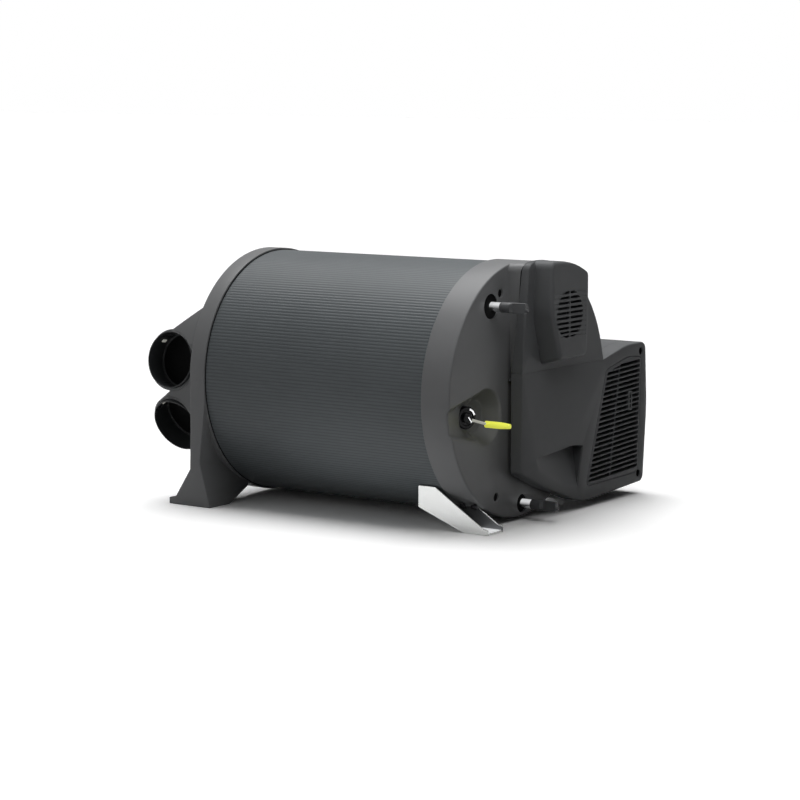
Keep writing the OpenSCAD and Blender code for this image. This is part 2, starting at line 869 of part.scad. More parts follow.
// The round vent's slots, split by an upright bar
module vent_slots() {
    pitch = 2 * vent_r / vent_rows;
    along_x(block_x - 2 * shell, block_x + past) translate(vent_at) difference() {
        intersection() {
            circle(r = vent_r);
            for (i = [0:vent_rows - 1]) translate([-vent_r, (i + 0.5) * pitch - vent_r - vent_slot / 2])
                square([2 * vent_r, vent_slot]);
        }
        translate([-vent_bar / 2, -vent_r]) square([vent_bar, 2 * vent_r]);
    }
}

module electronics_cover() {
    top = axis_z + cap_r;
    color("#3a3c3e") difference() {
        cover_form(0);
        translate([-past, 0, 0]) cover_form(shell);
        translate([seat_gap, 0, 0]) along_y(-cap_r, 2 * cap_r)
            polygon([[cap_x - past, joint_z - past], [cap_x, joint_z], [cap_x + collar_rise, top],
                [cap_x + collar_rise, top + shell * 2], [cap_x - past, top + shell * 2]]);
        vent_slots();
    }
}

module intake_grille() {
    front = grille_outline();
    pitch = (joint_z - grille_low - 2 * grille_frame) / slat_count;
    reach = intake_y / 2;
    color("#2c2e30") difference() {
        along_x(face_x - shell + seat_gap, face_x) polygon(rounded(front));
        intersection() {
            along_x(face_x - 2 * shell, face_x + past) polygon(rounded(inset(front, grille_frame)));
            for (i = [0:slat_count - 1])
                translate([face_x - 2 * shell, grille_mid, grille_low + grille_frame + (i + 0.5) * pitch])
                    rotate([slat_tilt, 0, 0]) for (from = [past, -past - reach])
                        translate([0, from, -slat_slot / 2]) cube([4 * shell, reach, slat_slot]);
        }
    }
}

// Side view of the front bracket's flanges, whose first three points are its base
function flange_profile() = [
    [band_x - bracket_root, bracket_root_z], [cap_x - bracket_bend, 0], [cap_x + bracket_out, 0],
    [cap_x + bracket_out, bracket_toe_h],
    [cap_x + bracket_out - bracket_toe_len, bracket_toe_h + bracket_lip],
    [band_x - bracket_shoulder, bracket_top], [band_x - bracket_root, bracket_top]];

// The same turned round, so that the foot lies under the drum
function turned(p) = [for (q = p) [2 * bracket_turn_x - q[0], q[1]]];

// A channel of sheet with a tongue that hugs the burner cap, on the front side
module bracket(profile, hole_x) {
    base = [profile[0], profile[1], profile[2]];
    difference() {
        union() {
            along_y(-bracket_y, sheet - bracket_y) polygon(profile);
            along_y(-bracket_inner - sheet, -bracket_inner) polygon(profile);
            along_y(-bracket_y, -bracket_inner)
                polygon(concat(base, reverse([for (p = base) p + [0, sheet]])));
            intersection() {
                pipe_x([0, axis_z], tongue_r + sheet, tongue_r, band_x + past, plate_x);
                block([band_x, past - bracket_y, 0], [cap_x, -past - bracket_inner, axis_z]);
            }
        }
        on_axis(drum_r + seat_gap, 0, band_x + past);
        on_axis(tongue_r, band_x - past, cap_x + bracket_out + past);
        for (x = bracket_screw_x) at_bracket(x) {
            translate([0, 0, -2 * cap_r]) cylinder(r = screw_r + screw_room, h = cap_r);
            translate([0, 0, -2 * cap_r])
                cylinder(r = head_r + driver_room, h = 2 * cap_r - tongue_r - sheet - seat_gap);
        }
        rod_z(hole_x, -bracket_mid, bracket_hole_r, -past, sheet + past);
    }
}

module support_bracket_front() {
    color("#d6d8d7") bracket(flange_profile(), bracket_hole_x);
}

module support_bracket_rear() {
    color("#d6d8d7") mirror([0, 1, 0])
        bracket(turned(flange_profile()), 2 * bracket_turn_x - bracket_hole_x);
}

module bracket_screws() {
    out = tongue_r + sheet;
    color("silver") {
        bracket_bosses(screw_r, cap_bore - boss_h + past, out + past);
        bracket_bosses(head_r, out + seat_gap, out + seat_gap + head_h);
    }
}

module hot_water_pipe() {
    color("#d9dcde") pipe_x(hot_at, pipe_r, pipe_bore, tank_end, spigot_x + spigot_len / 2);
}

module cold_water_pipe() {
    color("#d9dcde") pipe_x(cold_at, pipe_r, pipe_bore, tank_end, spigot_x + spigot_len / 2);
}

// A spigot: a round length for the connector, then a flattened tip with a nub
module spigot(at) {
    end = spigot_x + spigot_len;
    tip = end + spigot_tip;
    color("#4a4c4e") difference() {
        union() {
            rod_x(at, spigot_r, spigot_x, tip);
            rod_x([at[0], at[1] - spigot_r / 2], spigot_r / 4, tip - past, tip + spigot_nub);
        }
        rod_x(at, pipe_r + snug, spigot_x - past, spigot_x + spigot_len / 2 + past);
        rod_x(at, pipe_bore, spigot_x, end);
        translate([end, at[0] - spigot_r - past, at[1] + spigot_r / 3])
            cube([spigot_tip + past, 2 * spigot_r + 2 * past, spigot_r]);
    }
}

module hot_water_spigot() {
    spigot(hot_at);
}

module cold_water_spigot() {
    spigot(cold_at);
}

module port_grommets() {
    color("#121314") {
        pipe_x(hot_at, hot_port_r - snug, pipe_r + snug, plate_x, cap_x - past);
        pipe_x(cold_at, cold_port_r - snug, pipe_r + snug, plate_x, cap_x - past);
    }
}

module fuel_inlet_fitting() {
    color("#101112") difference() {
        union() {
            rod_x(fuel_at, fitting_r, funnel_x, funnel_x + fitting_h);
            rod_x(fuel_at, fitting_r * 0.75, funnel_x, funnel_x + fitting_h + fitting_nose);
        }
        rod_x(nipple_at, nipple_r + snug, funnel_x - past, cap_x);
    }
}

module fuel_nipple() {
    color("#cfd0c6") pipe_x(nipple_at, nipple_r, nipple_r / 2, nipple_x, nipple_end);
}

module fuel_cap() {
    neck_x = fuel_cap_x + fuel_cap_len * 0.6;
    color("#eef03a") difference() {
        union() {
            rod_x(nipple_at, fuel_cap_r, fuel_cap_x, neck_x);
            cone_x(nipple_at, fuel_cap_r, fuel_cap_r * 0.72, neck_x, fuel_cap_x + fuel_cap_len);
        }
        rod_x(nipple_at, nipple_r + shaft_fit, fuel_cap_x - past, nipple_end + past);
    }
}

module fuel_pipe() {
    drop = axis_z - nipple_at[1];
    can_y = burner_wall - sqrt(burner_r * burner_r - drop * drop);
    color("#b9bcbe") {
        rod_y(nipple_x - nipple_r, nipple_at[1], nipple_r, nipple_at[0] - nipple_r, can_y);
        rod_x(nipple_at, nipple_r, nipple_x - 2 * nipple_r, nipple_x);
    }
}

module water_tank() {
    color("#c9cccd") difference() {
        pipe_x([0, axis_z], tank_r, tank_bore, tank_x, tank_end);
        pipe_x([0, axis_z], tank_r - tank_wall, tank_bore + tank_wall,
            tank_x + tank_wall, tank_end - tank_wall);
        rod_x(hot_at, pipe_bore, tank_end - 2 * tank_wall, tank_end + past);
        rod_x(cold_at, pipe_bore, tank_end - 2 * tank_wall, tank_end + past);
    }
}

module tank_rings() {
    color("#777a7c") for (x = [tank_x + ring_w, tank_end - 3 * ring_w])
        pipe_x([0, axis_z], drum_r - drum_wall - seat_gap, tank_r + seat_gap, x, x + ring_w);
}

module water_sensor() {
    color("#b08d3c") rod_x(sensor_at, sensor_r, tank_end, tank_end + sensor_len);
}

module heat_exchanger() {
    fin_h = fin_r - core_r + past;
    color("#a9adaf") difference() {
        union() {
            on_axis(core_r, exchanger_x, burner_x);
            for (i = [0:fin_count - 1]) translate([exchanger_x, 0, axis_z])
                rotate([i * 360 / fin_count, 0, 0]) translate([0, core_r - past, -fin_t / 2])
                    cube([burner_x - exchanger_x, fin_h, fin_t]);
        }
        on_axis(core_bore, exchanger_x + 2 * fin_t, burner_x + past);
    }
}

module combustion_chamber() {
    color("#8d8f90") pipe_x([0, axis_z], burner_r, burner_r - burner_wall, chamber_x, burner_x);
}

module burner_head() {
    tube = burner_r - burner_wall;
    color("#7d8082") difference() {
        union() {
            on_axis(flange_r, burner_x, burner_x + flange_t);
            pipe_x([0, axis_z], burner_r, tube, burner_x, plate_x);
            on_axis(tube - seat_gap, burner_x - nozzle_len, burner_x + past);
            for (i = [0:post_count - 1]) translate([burner_x, 0, axis_z])
                rotate([30 + i * 360 / post_count, 0, 0]) translate([0, post_at, 0]) rotate([0, 90, 0])
                    cylinder(r = post_r, h = plate_x - burner_x);
        }
        on_axis(burner_r / 2, burner_x - nozzle_len - past, burner_x - past);
        rod_x(glow_at, glow_r + snug, burner_x - nozzle_len - past, burner_x + flange_t + past);
        intersection() {
            rod_x([exhaust_y, exhaust_low], duct_bore, burner_x - past, burner_x + flange_t + past);
            on_axis(core_bore, burner_x - 2 * past, burner_x + flange_t + 2 * past);
        }
        rod_y(nipple_x - nipple_r, nipple_at[1], nipple_r + snug, -flange_r, 0);
    }
}

module glow_plug() {
    seat_x = burner_x + flange_t;
    color("#c0a050") {
        rod_x(glow_at, glow_r, burner_x - nozzle_len - glow_tip, seat_x + glow_tail);
        rod_x(glow_at, glow_r + disc_t, seat_x, seat_x + glow_head);
    }
}

module exhaust_run(r, extra) {
    rod_x([exhaust_y, exhaust_low], r, burner_x + flange_t - extra, duct_x);
    rod_z(duct_x, exhaust_y, r, exhaust_low, exhaust_z);
    rod_y(duct_x, exhaust_z, r, exhaust_y, duct_reach + extra);
    translate([duct_x, exhaust_y, exhaust_low]) sphere(r = r);
    translate([duct_x, exhaust_y, exhaust_z]) sphere(r = r);
}

module exhaust_connector() {
    color("#b4b7b8") difference() {
        union() {
            exhaust_run(duct_r, 0);
            rod_y(duct_x, exhaust_z, bead_r, bead_y, bead_y + bead_w);
        }
        exhaust_run(duct_bore, past);
    }
}

module air_run(r, extra) {
    rod_x([air_y, air_low], r, duct_x, cap_x + extra);
    rod_z(duct_x, air_y, r, air_low, air_z);
    rod_y(duct_x, air_z, r, air_y, duct_reach + extra);
    translate([duct_x, air_y, air_low]) sphere(r = r);
    translate([duct_x, air_y, air_z]) sphere(r = r);
}

module combustion_air_connector() {
    color("#2b2d2f") difference() {
        union() {
            air_run(duct_r, 0);
            rod_y(duct_x, air_z, bead_r, bead_y, bead_y + bead_w);
        }
        air_run(duct_bore, past);
    }
}

// A fan wheel on its own axis: a back disc, a hub, leaning blades and a front ring
module fan_wheel(at, r, from, len, blades, width) {
    difference() {
        union() {
            rod_x(at, r, from, from + disc_t);
            rod_x(at, 2 * shaft_r, from, from + len * hub_part);
            pipe_x(at, r, r - width / 2, from + len - disc_t, from + len);
            for (i = [0:blades - 1]) translate([from + disc_t / 2, at[0], at[1]])
                rotate([i * 360 / blades, 0, 0]) translate([0, r - width, 0]) rotate([blade_lean, 0, 0])
                    translate([0, 0, -blade_t / 2]) cube([len - disc_t, width, blade_t]);
        }
        rod_x(at, shaft_r + snug, from - past, from + len + past);
    }
}

module circulation_fan() {
    color("#1d1f21") fan_wheel(circ_at, circ_r, circ_x, circ_len, circ_blades, circ_blade_w);
}

module circulation_shaft() {
    color("silver") rod_x(circ_at, shaft_r, box_x + shell + motor_len / 2, circ_x + circ_len * hub_part);
}

module circulation_motor() {
    back_x = box_x + shell;
    color("#6d7072") difference() {
        rod_x(circ_at, motor_r, back_x, back_x + motor_len);
        rod_x(circ_at, shaft_r + shaft_fit, back_x + motor_len / 2 - past, back_x + motor_len + past);
    }
}

module combustion_fan() {
    color("#1d1f21") fan_wheel(comb_at, comb_r, comb_x, comb_len, comb_blades, comb_blade_w);
}

module combustion_shaft() {
    color("silver") rod_x(comb_at, shaft_r, plate_x - motor_len / 2, comb_x + comb_len * hub_part);
}

module combustion_motor() {
    color("#6d7072") difference() {
        rod_x(comb_at, motor_r, plate_x - motor_len, plate_x);
        rod_x(comb_at, shaft_r + shaft_fit, plate_x - motor_len / 2 - past, plate_x + past);
    }
}

module blower_scroll() {
    color("#55585a") difference() {
        rod_x(comb_at, scroll_r + scroll_wall, cap_x, cap_x + scroll_depth);
        rod_x(comb_at, scroll_r, cap_x - past, cap_x + scroll_depth - scroll_wall);
        rod_x(comb_at, comb_r / 2, cap_x, cap_x + scroll_depth + past);
    }
}

module control_board() {
    from = cap_x + board_off;
    color("#1f6b3a") difference() {
        translate([from, board_at[0], board_at[1]]) {
            cube([board_t, board_w, board_h]);
            for (i = [0:chip_count - 1]) translate([0, chip_at[0] + chip_pitch * i, chip_at[1]])
                cube([board_t + chip_h, chip_w, chip_len]);
        }
        board_corners() rod_x([0, 0], screw_r + screw_room, from - past, from + board_t + past);
    }
}

module board_screws() {
    from = cap_x + board_off + board_t;
    color("silver") board_corners() {
        rod_x([0, 0], screw_r, cap_x + past, from + past);
        rod_x([0, 0], head_r - past, from, from + head_h - past);
    }
}

module terminal_block() {
    from = cap_x + board_off + board_t;
    color("#2f8f5a") difference() {
        translate([from, board_at[0] + terminal_at[0], board_at[1] + terminal_at[1]])
            cube([terminal_h, terminal_count * terminal_pitch, terminal_w]);
        for (i = [0:terminal_count - 1])
            rod_x(board_at + terminal_at + [(i + 0.5) * terminal_pitch, terminal_w / 2], terminal_r,
                from + terminal_h / 2, from + terminal_h + past);
    }
}

module overheat_switch() {
    top_x = cap_x + switch_h;
    color("#8a6f3a") difference() {
        rod_x(switch_at, switch_r, cap_x, top_x);
        rod_x(switch_at, button_r + shaft_fit, top_x - button_in - button_travel, top_x + past);
    }
}

module reset_button() {
    top_x = cap_x + switch_h;
    color("#c8382e") rod_x(switch_at, button_r, top_x - button_in, top_x + button_up);
}

drum_jacket();
warm_air_end_cap();
air_distributor();
distributor_screws();
outlet_front_upper();
outlet_front_lower();
outlet_rear_upper();
outlet_rear_lower();
burner_end_cap();
burner_housing();
intake_box();
housing_screws();
electronics_cover();
intake_grille();
support_bracket_front();
support_bracket_rear();
bracket_screws();
hot_water_pipe();
cold_water_pipe();
hot_water_spigot();
cold_water_spigot();
port_grommets();
fuel_inlet_fitting();
fuel_nipple();
fuel_cap();
fuel_pipe();
water_tank();
tank_rings();
water_sensor();
heat_exchanger();
combustion_chamber();
burner_head();
glow_plug();
exhaust_connector();
combustion_air_connector();
combustion_fan();
combustion_shaft();
combustion_motor();
blower_scroll();
circulation_fan();
circulation_shaft();
circulation_motor();
control_board();
board_screws();
terminal_block();
overheat_switch();
reset_button();
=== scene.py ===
# %% [markdown]
# # A caravan water heater, dressed for its portrait
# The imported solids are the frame: they fix every size and every joint.
# This lesson adds what solids leave out, which is ribs, rounded edges, seams and finishes.
# Each step says what the piece is on the real heater and why it is made the way it is.

# %% Load the frame
import json
import math

import bmesh
import bpy
import numpy as np
from mathutils import Matrix, Vector
from mathutils.geometry import delaunay_2d_cdt


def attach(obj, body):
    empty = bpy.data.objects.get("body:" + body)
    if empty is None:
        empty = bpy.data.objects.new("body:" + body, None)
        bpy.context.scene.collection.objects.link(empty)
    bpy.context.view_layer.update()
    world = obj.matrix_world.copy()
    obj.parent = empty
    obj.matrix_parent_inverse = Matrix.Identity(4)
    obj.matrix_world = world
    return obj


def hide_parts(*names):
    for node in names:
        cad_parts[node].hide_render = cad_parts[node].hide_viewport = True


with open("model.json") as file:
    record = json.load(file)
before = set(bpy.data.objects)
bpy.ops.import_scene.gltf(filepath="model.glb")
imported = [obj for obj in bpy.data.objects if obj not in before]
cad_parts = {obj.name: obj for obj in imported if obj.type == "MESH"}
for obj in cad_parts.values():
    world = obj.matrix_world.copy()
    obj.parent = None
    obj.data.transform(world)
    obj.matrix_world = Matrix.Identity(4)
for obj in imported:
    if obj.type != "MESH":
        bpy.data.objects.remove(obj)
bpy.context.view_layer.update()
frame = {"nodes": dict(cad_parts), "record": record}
nodes = frame["nodes"]

# %% [markdown]
# ## Camera
# The viewing angle was worked out from the rims of the drum, which are circles seen aslant.
# A long lens far away keeps the ellipses as flat as they are in the picture.
# The camera's axes are written straight into its matrix, so nothing has to track a target.

# %% Camera
AZIMUTH, ELEVATION = math.radians(34.969), math.radians(7.672)
TARGET = Vector((0.21865, 0.0, 0.12656))
DISTANCE, LENS, SENSOR, FAR_CLIP = 2.90156, 109.893, 36.0, 50.0

back = Vector((math.sin(AZIMUTH) * math.cos(ELEVATION),
               -math.cos(AZIMUTH) * math.cos(ELEVATION), math.sin(ELEVATION)))
right = Vector((math.cos(AZIMUTH), math.sin(AZIMUTH), 0.0))
up = back.cross(right)
view = bpy.data.cameras.new("view")
view.lens = LENS
view.sensor_width = SENSOR
view.clip_end = FAR_CLIP
camera = bpy.data.objects.new("view", view)
camera.matrix_world = Matrix.Translation(TARGET + DISTANCE * back) @ Matrix(
    (right, up, back)).transposed().to_4x4()
bpy.context.scene.collection.objects.link(camera)
bpy.context.scene.camera = camera
print("camera at", tuple(round(v, 3) for v in camera.location))

# %% [markdown]
# ## Studio
# The heater stands on a pale floor that runs out of sight, under one broad soft light from above.
# Sun lamps light the floor evenly to its far edge, where area lamps would fade.
# The floor is white to the camera and to reflections, and greyer to diffuse rays, most of all in front
# of the burner end, which leaves the housings dark. A faint card of light lies in front of the drum
# and lifts its lower half, as a reflector does.

# %% Nodes helper
def wire(tree, kind, inputs=None, **settings):
    """Adds one shader node: settings are its properties, inputs its sockets by name or number.
    A socket value that is itself an output is linked, and any other value is set."""
    made = tree.nodes.new(kind)
    for key, value in settings.items():
        setattr(made, key, value)
    for key, value in (inputs or {}).items():
        if isinstance(value, bpy.types.NodeSocket):
            tree.links.new(value, made.inputs[key])
        else:
            made.inputs[key].default_value = value
    return made


def seen_directly(tree, gloss=1.0):
    """1 for camera and transmission rays, gloss for reflections, 0 for rays that only carry light."""
    path = wire(tree, "ShaderNodeLightPath")
    mirror = wire(tree, "ShaderNodeMath", {0: path.outputs["Is Glossy Ray"], 1: gloss},
                  operation="MULTIPLY")
    first = wire(tree, "ShaderNodeMath", {0: path.outputs["Is Camera Ray"], 1: mirror.outputs[0]},
                 operation="MAXIMUM")
    return wire(tree, "ShaderNodeMath", {0: first.outputs[0],
                                         1: path.outputs["Is Transmission Ray"]},
                operation="MAXIMUM").outputs[0]


# %% World
WORLD_LEVEL, GLOSS_LEVEL = 0.04, 0.3

world = bpy.data.worlds.new("studio")
bpy.context.scene.world = world
world.use_nodes = True
tree = world.node_tree
tree.nodes.clear()
soft = wire(tree, "ShaderNodeBackground", {"Color": (1, 1, 1, 1), "Strength": WORLD_LEVEL})
white = wire(tree, "ShaderNodeBackground", {"Color": (1, 1, 1, 1), "Strength": 1.0})
both = wire(tree, "ShaderNodeMixShader", {0: seen_directly(tree, GLOSS_LEVEL), 1: soft.outputs[0],
                                          2: white.outputs[0]})
wire(tree, "ShaderNodeOutputWorld", {"Surface": both.outputs[0]})
print("world level", WORLD_LEVEL, "to diffuse rays and", GLOSS_LEVEL, "of white to reflections")

# %% Lamps
SUNS = [("key", 2.9, 50, (-0.28, 0.2, 1.0)), ("fill", 0.4, 80, (-0.25, -1.0, 0.25))]
LAMP_AT, LAMP_TO, LAMP_SIZE, LAMP_POWER = (0.66, -0.22, 0.66), (0.4, 0.0, 0.24), 0.4, 0.95
CARD_AT, CARD_LONG, CARD_WIDE, CARD_POWER = (0.29, -0.2, 0.001), 0.26, 0.12, 0.08


def facing(towards):
    """The turn that points a lamp's back along a direction, so that its light comes from there."""
    return Vector(towards).to_track_quat("Z", "Y").to_euler()


def hang(name, kind, power, turn, at=(0, 0, 0), **settings):
    """One lamp of a kind, hung at a place with a turn. The settings give its size."""
    lamp = bpy.data.lights.new(name, kind)
    lamp.energy = power
    for key, value in settings.items():
        setattr(lamp, key, value)
    holder = bpy.data.objects.new(name, lamp)
    holder.location = at
    holder.rotation_euler = turn
    bpy.context.scene.collection.objects.link(holder)
    return holder


for name, power, spread, towards in SUNS:
    hang(name, "SUN", power, facing(towards), angle=math.radians(spread))
hang("near", "AREA", LAMP_POWER, facing(Vector(LAMP_AT) - Vector(LAMP_TO)), LAMP_AT, size=LAMP_SIZE)
card = hang("card", "AREA", CARD_POWER, (math.pi, 0, 0), CARD_AT, shape="RECTANGLE", size=CARD_LONG,
            size_y=CARD_WIDE)
card.visible_camera = card.visible_glossy = False

# %% Floor
BOUNCE_FROM, BOUNCE_TO, BOUNCE_DRUM, BOUNCE_END = 0.3, 0.42, 0.3, 0.1
FLOOR_HALF, FLOOR_DROP, FLOOR_WHITE = 20.0, 0.0002, (1.15, 1.15, 1.15, 1)

floor_mesh = bpy.data.meshes.new("floor")
floor_corners = [(-1, -1), (1, -1), (1, 1), (-1, 1)]
floor_mesh.from_pydata([(x * FLOOR_HALF, y * FLOOR_HALF, 0) for x, y in floor_corners], [], [(0, 1, 2, 3)])
floor = bpy.data.objects.new("floor", floor_mesh)
floor.location.z = -FLOOR_DROP
bpy.context.scene.collection.objects.link(floor)
pale = bpy.data.materials.new("pale_floor")
pale.use_nodes = True
tree = pale.node_tree
tree.nodes.clear()
floor_at = wire(tree, "ShaderNodeSeparateXYZ", {0: wire(tree, "ShaderNodeTexCoord").outputs["Object"]})
bounce = wire(tree, "ShaderNodeMapRange", {0: floor_at.outputs["X"], 1: BOUNCE_FROM, 2: BOUNCE_TO,
                                           3: BOUNCE_DRUM, 4: BOUNCE_END})
tone = wire(tree, "ShaderNodeMix", {0: seen_directly(tree), "A": bounce.outputs[0],
                                    "B": FLOOR_WHITE}, data_type="RGBA")
matt = wire(tree, "ShaderNodeBsdfDiffuse", {"Color": tone.outputs["Result"]})
wire(tree, "ShaderNodeOutputMaterial", {"Surface": matt.outputs[0]})
floor_mesh.materials.append(pale)
bpy.context.scene.view_settings.view_transform = "Standard"
print("floor half width", FLOOR_HALF, "m, bounce", BOUNCE_DRUM, "to", BOUNCE_END)

# %% [markdown]
# ## Finishes
# Every finish is built the same way: a base colour that drifts a little over the piece,
# a roughness that drifts with it, and a fine grain that tilts the surface.
# A rounded normal at sharp edges catches the light as the small radius of a moulding does.
# The jacket also gets painted shade in the grooves between its ribs, in step with the mesh.
# The pale and yellow plastics are self-lit as painted light, and chrome gets a painted reflection of the
# lit studio on faces that look upwards.

# %% Finish builder
MM = 0.001
AXIS_Z, RIBS, GROOVE_SHADE = 152.0, 230, 0.76
DRIFT_SCALE, DRIFT_LOW, DRIFT_HIGH, ROUGH_DRIFT = 18.0, 0.3, 0.7, 0.08
PAINTED_SKY_FROM, PAINTED_SKY_TO = -0.15, 0.55


def coloured(rgb, gain):
    """A linear RGBA colour scaled by gain."""
    return (rgb[0] * gain, rgb[1] * gain, rgb[2] * gain, 1.0)


def painted_groove_shade(tree, place, count):
    """Painted shade for the rib grooves: 1 on the crests and GROOVE_SHADE in the grooves of count ribs
    round the drum's axis, a cosine of the turn in step with the ribs of the mesh."""
    spot = wire(tree, "ShaderNodeSeparateXYZ", {0: place})
    rise = wire(tree, "ShaderNodeMath", {0: spot.outputs["Z"], 1: AXIS_Z * MM}, operation="SUBTRACT")
    turn = wire(tree, "ShaderNodeMath", {0: spot.outputs["Y"], 1: rise.outputs[0]}, operation="ARCTAN2")
    many = wire(tree, "ShaderNodeMath", {0: turn.outputs[0], 1: count}, operation="MULTIPLY")
    wave = wire(tree, "ShaderNodeMath", {0: many.outputs[0]}, operation="COSINE")
    return wire(tree, "ShaderNodeMapRange", {0: wave.outputs[0], 1: 0.0, 2: 1.0, 3: 1.0,
                                             4: GROOVE_SHADE}).outputs[0]


def finish(name, rgb, rough, grain=0.0004, depth=0.00003, drift=0.08, rounding=0.0006,
           metal=0.0, specular=0.3, painted_glow=0.0, painted_sky=0.0, ribs=0, stretch=(1, 1, 1)):
    """A solid finish: colour and roughness follow slow noise, and fine noise of size grain makes a
    bump of the given depth over a normal that is rounded at edges. Lengths are in metres.
    painted_glow is light painted onto the brightest pieces, which are no lamps. painted_sky adds a painted
    reflection on faces that look upwards, in place of the lit studio overhead that a polished pipe
    mirrors. ribs counts the grooves that get painted shade."""
    made = bpy.data.materials.new(name)
    made.use_nodes = True
    tree = made.node_tree
    tree.nodes.clear()
    place = wire(tree, "ShaderNodeTexCoord").outputs["Object"]
    along = wire(tree, "ShaderNodeMapping", {"Vector": place, "Scale": stretch}).outputs[0]
    slow = wire(tree, "ShaderNodeTexNoise", {"Vector": place, "Scale": DRIFT_SCALE,
                                             "Detail": 4.0}).outputs[0]
    fine = wire(tree, "ShaderNodeTexNoise", {"Vector": along, "Scale": 1.0 / grain,
                                             "Detail": 2.0}).outputs[0]
    shade = wire(tree, "ShaderNodeMix", {0: slow, "A": coloured(rgb, 1 - drift),
                                         "B": coloured(rgb, 1 + drift)}, data_type="RGBA")
    tint = shade.outputs["Result"]
    # Painted shade: the jacket's colour is darkened in its rib grooves.
    if ribs:
        tint = wire(tree, "ShaderNodeMix", {0: 1.0, "A": tint, "B": painted_groove_shade(tree, place, ribs)},
                    data_type="RGBA", blend_type="MULTIPLY").outputs["Result"]
    dull = wire(tree, "ShaderNodeMapRange", {0: slow, 1: DRIFT_LOW, 2: DRIFT_HIGH,
                                             3: rough * (1 - ROUGH_DRIFT),
                                             4: min(1.0, rough * (1 + ROUGH_DRIFT))})
    edge = wire(tree, "ShaderNodeBevel", {"Radius": rounding}, samples=4)
    bump = wire(tree, "ShaderNodeBump", {"Strength": 1.0, "Distance": depth, "Height": fine,
                                         "Normal": edge.outputs[0]})
    normal = wire(tree, "ShaderNodeNewGeometry").outputs["Normal"]
    upwards = wire(tree, "ShaderNodeSeparateXYZ", {0: normal}).outputs["Z"]
    # Painted light: the piece emits its own colour at painted_glow, rising by painted_sky on faces that
    # look upwards as a painted reflection.
    painted_light = wire(tree, "ShaderNodeMapRange", {0: upwards, 1: PAINTED_SKY_FROM, 2: PAINTED_SKY_TO, 3: painted_glow,
                                                4: painted_glow + painted_sky})
    skin = wire(tree, "ShaderNodeBsdfPrincipled", {
        "Base Color": tint, "Roughness": dull.outputs[0], "Metallic": metal,
        "Specular IOR Level": specular, "Normal": bump.outputs[0],
        "Emission Color": shade.outputs["Result"], "Emission Strength": painted_light.outputs[0]})
    wire(tree, "ShaderNodeOutputMaterial", {"Surface": skin.outputs[0]})
    return made


# %% Finishes of the heater
LOOKS = {
    "jacket_paint": ((0.122, 0.135, 0.142), 0.42, dict(specular=0.2, ribs=RIBS)),
    "cap_plastic": ((0.19, 0.193, 0.197), 0.4, dict(specular=0.22)),
    "housing_plastic": ((0.13, 0.134, 0.138), 0.45, dict(specular=0.1)),
    "outlet_plastic": ((0.04, 0.042, 0.044), 0.25, dict(specular=0.4)),
    "bracket_sheet": ((0.8, 0.81, 0.8), 0.24, dict(metal=0.85, depth=0.00001)),
    "screw_steel": ((0.035, 0.035, 0.038), 0.35, dict(metal=0.8, depth=0.00001)),
    # pipe_chrome's painted_sky is a painted reflection: its upward faces are self-lit.
    "pipe_chrome": ((0.8, 0.81, 0.82), 0.16, dict(metal=1.0, depth=0.000003, painted_sky=0.75)),
    "spigot_plastic": ((0.08, 0.083, 0.087), 0.42, dict(specular=0.35)),
    "black_rubber": ((0.003, 0.003, 0.0032), 0.6, dict(specular=0.05)),
    "fitting_black": ((0.004, 0.004, 0.005), 0.15, dict(specular=0.15)),
    # pale_plastic is self-lit by painted_glow, a painted highlight on the sleeve catches and the fuel
    # stem.
    "pale_plastic": ((0.62, 0.62, 0.56), 0.45, dict(painted_glow=0.3)),
    # yellow_plastic is self-lit by painted_glow, painted light that brightens the transport cap.
    "yellow_plastic": ((0.92, 0.95, 0.11), 0.42, dict(drift=0.03, painted_glow=0.5)),
    "tank_steel": ((0.6, 0.61, 0.62), 0.32, dict(metal=1.0, depth=0.00001, stretch=(0.06, 1, 1))),
    "exchanger_alloy": ((0.5, 0.51, 0.52), 0.5, dict(metal=1.0)),
    "burner_steel": ((0.35, 0.34, 0.33), 0.42, dict(metal=1.0)),
    "motor_can": ((0.16, 0.165, 0.17), 0.35, dict(metal=0.6)),
    "fan_plastic": ((0.012, 0.013, 0.014), 0.45, dict()),
    "board_green": ((0.014, 0.14, 0.045), 0.35, dict(specular=0.4)),
    "terminal_green": ((0.03, 0.26, 0.1), 0.4, dict()),
    "sensor_brass": ((0.45, 0.28, 0.06), 0.3, dict(metal=1.0)),
    "switch_brown": ((0.25, 0.16, 0.045), 0.25, dict(specular=0.5)),
    "button_red": ((0.57, 0.04, 0.027), 0.25, dict(specular=0.5)),
}
FINISHES = {name: finish(name, rgb, rough, **more) for name, (rgb, rough, more) in LOOKS.items()}
slot_of = {part["node"]: part["material_slot"] for part in frame["record"]["subparts"]}
for name, piece in nodes.items():
    piece.data.materials.clear()
    piece.data.materials.append(FINISHES[slot_of[name]])
print("finishes:", len(FINISHES))

# %% [markdown]
# ## Surfaces from arrays
# A moulding is an outline carried along the drum's direction, drawn in a little where its edge is rounded.
# So a few small tools are enough for most of the heater: round an outline's corners, draw it in,
# carry it along, fill a face that has holes, and turn a profile. Whole arrays go through them, and the
# mesh is made once at the end.

# %% Outlines
def unit(v):
    """Vectors scaled to length one."""
    return v / np.linalg.norm(v, axis=-1, keepdims=True)


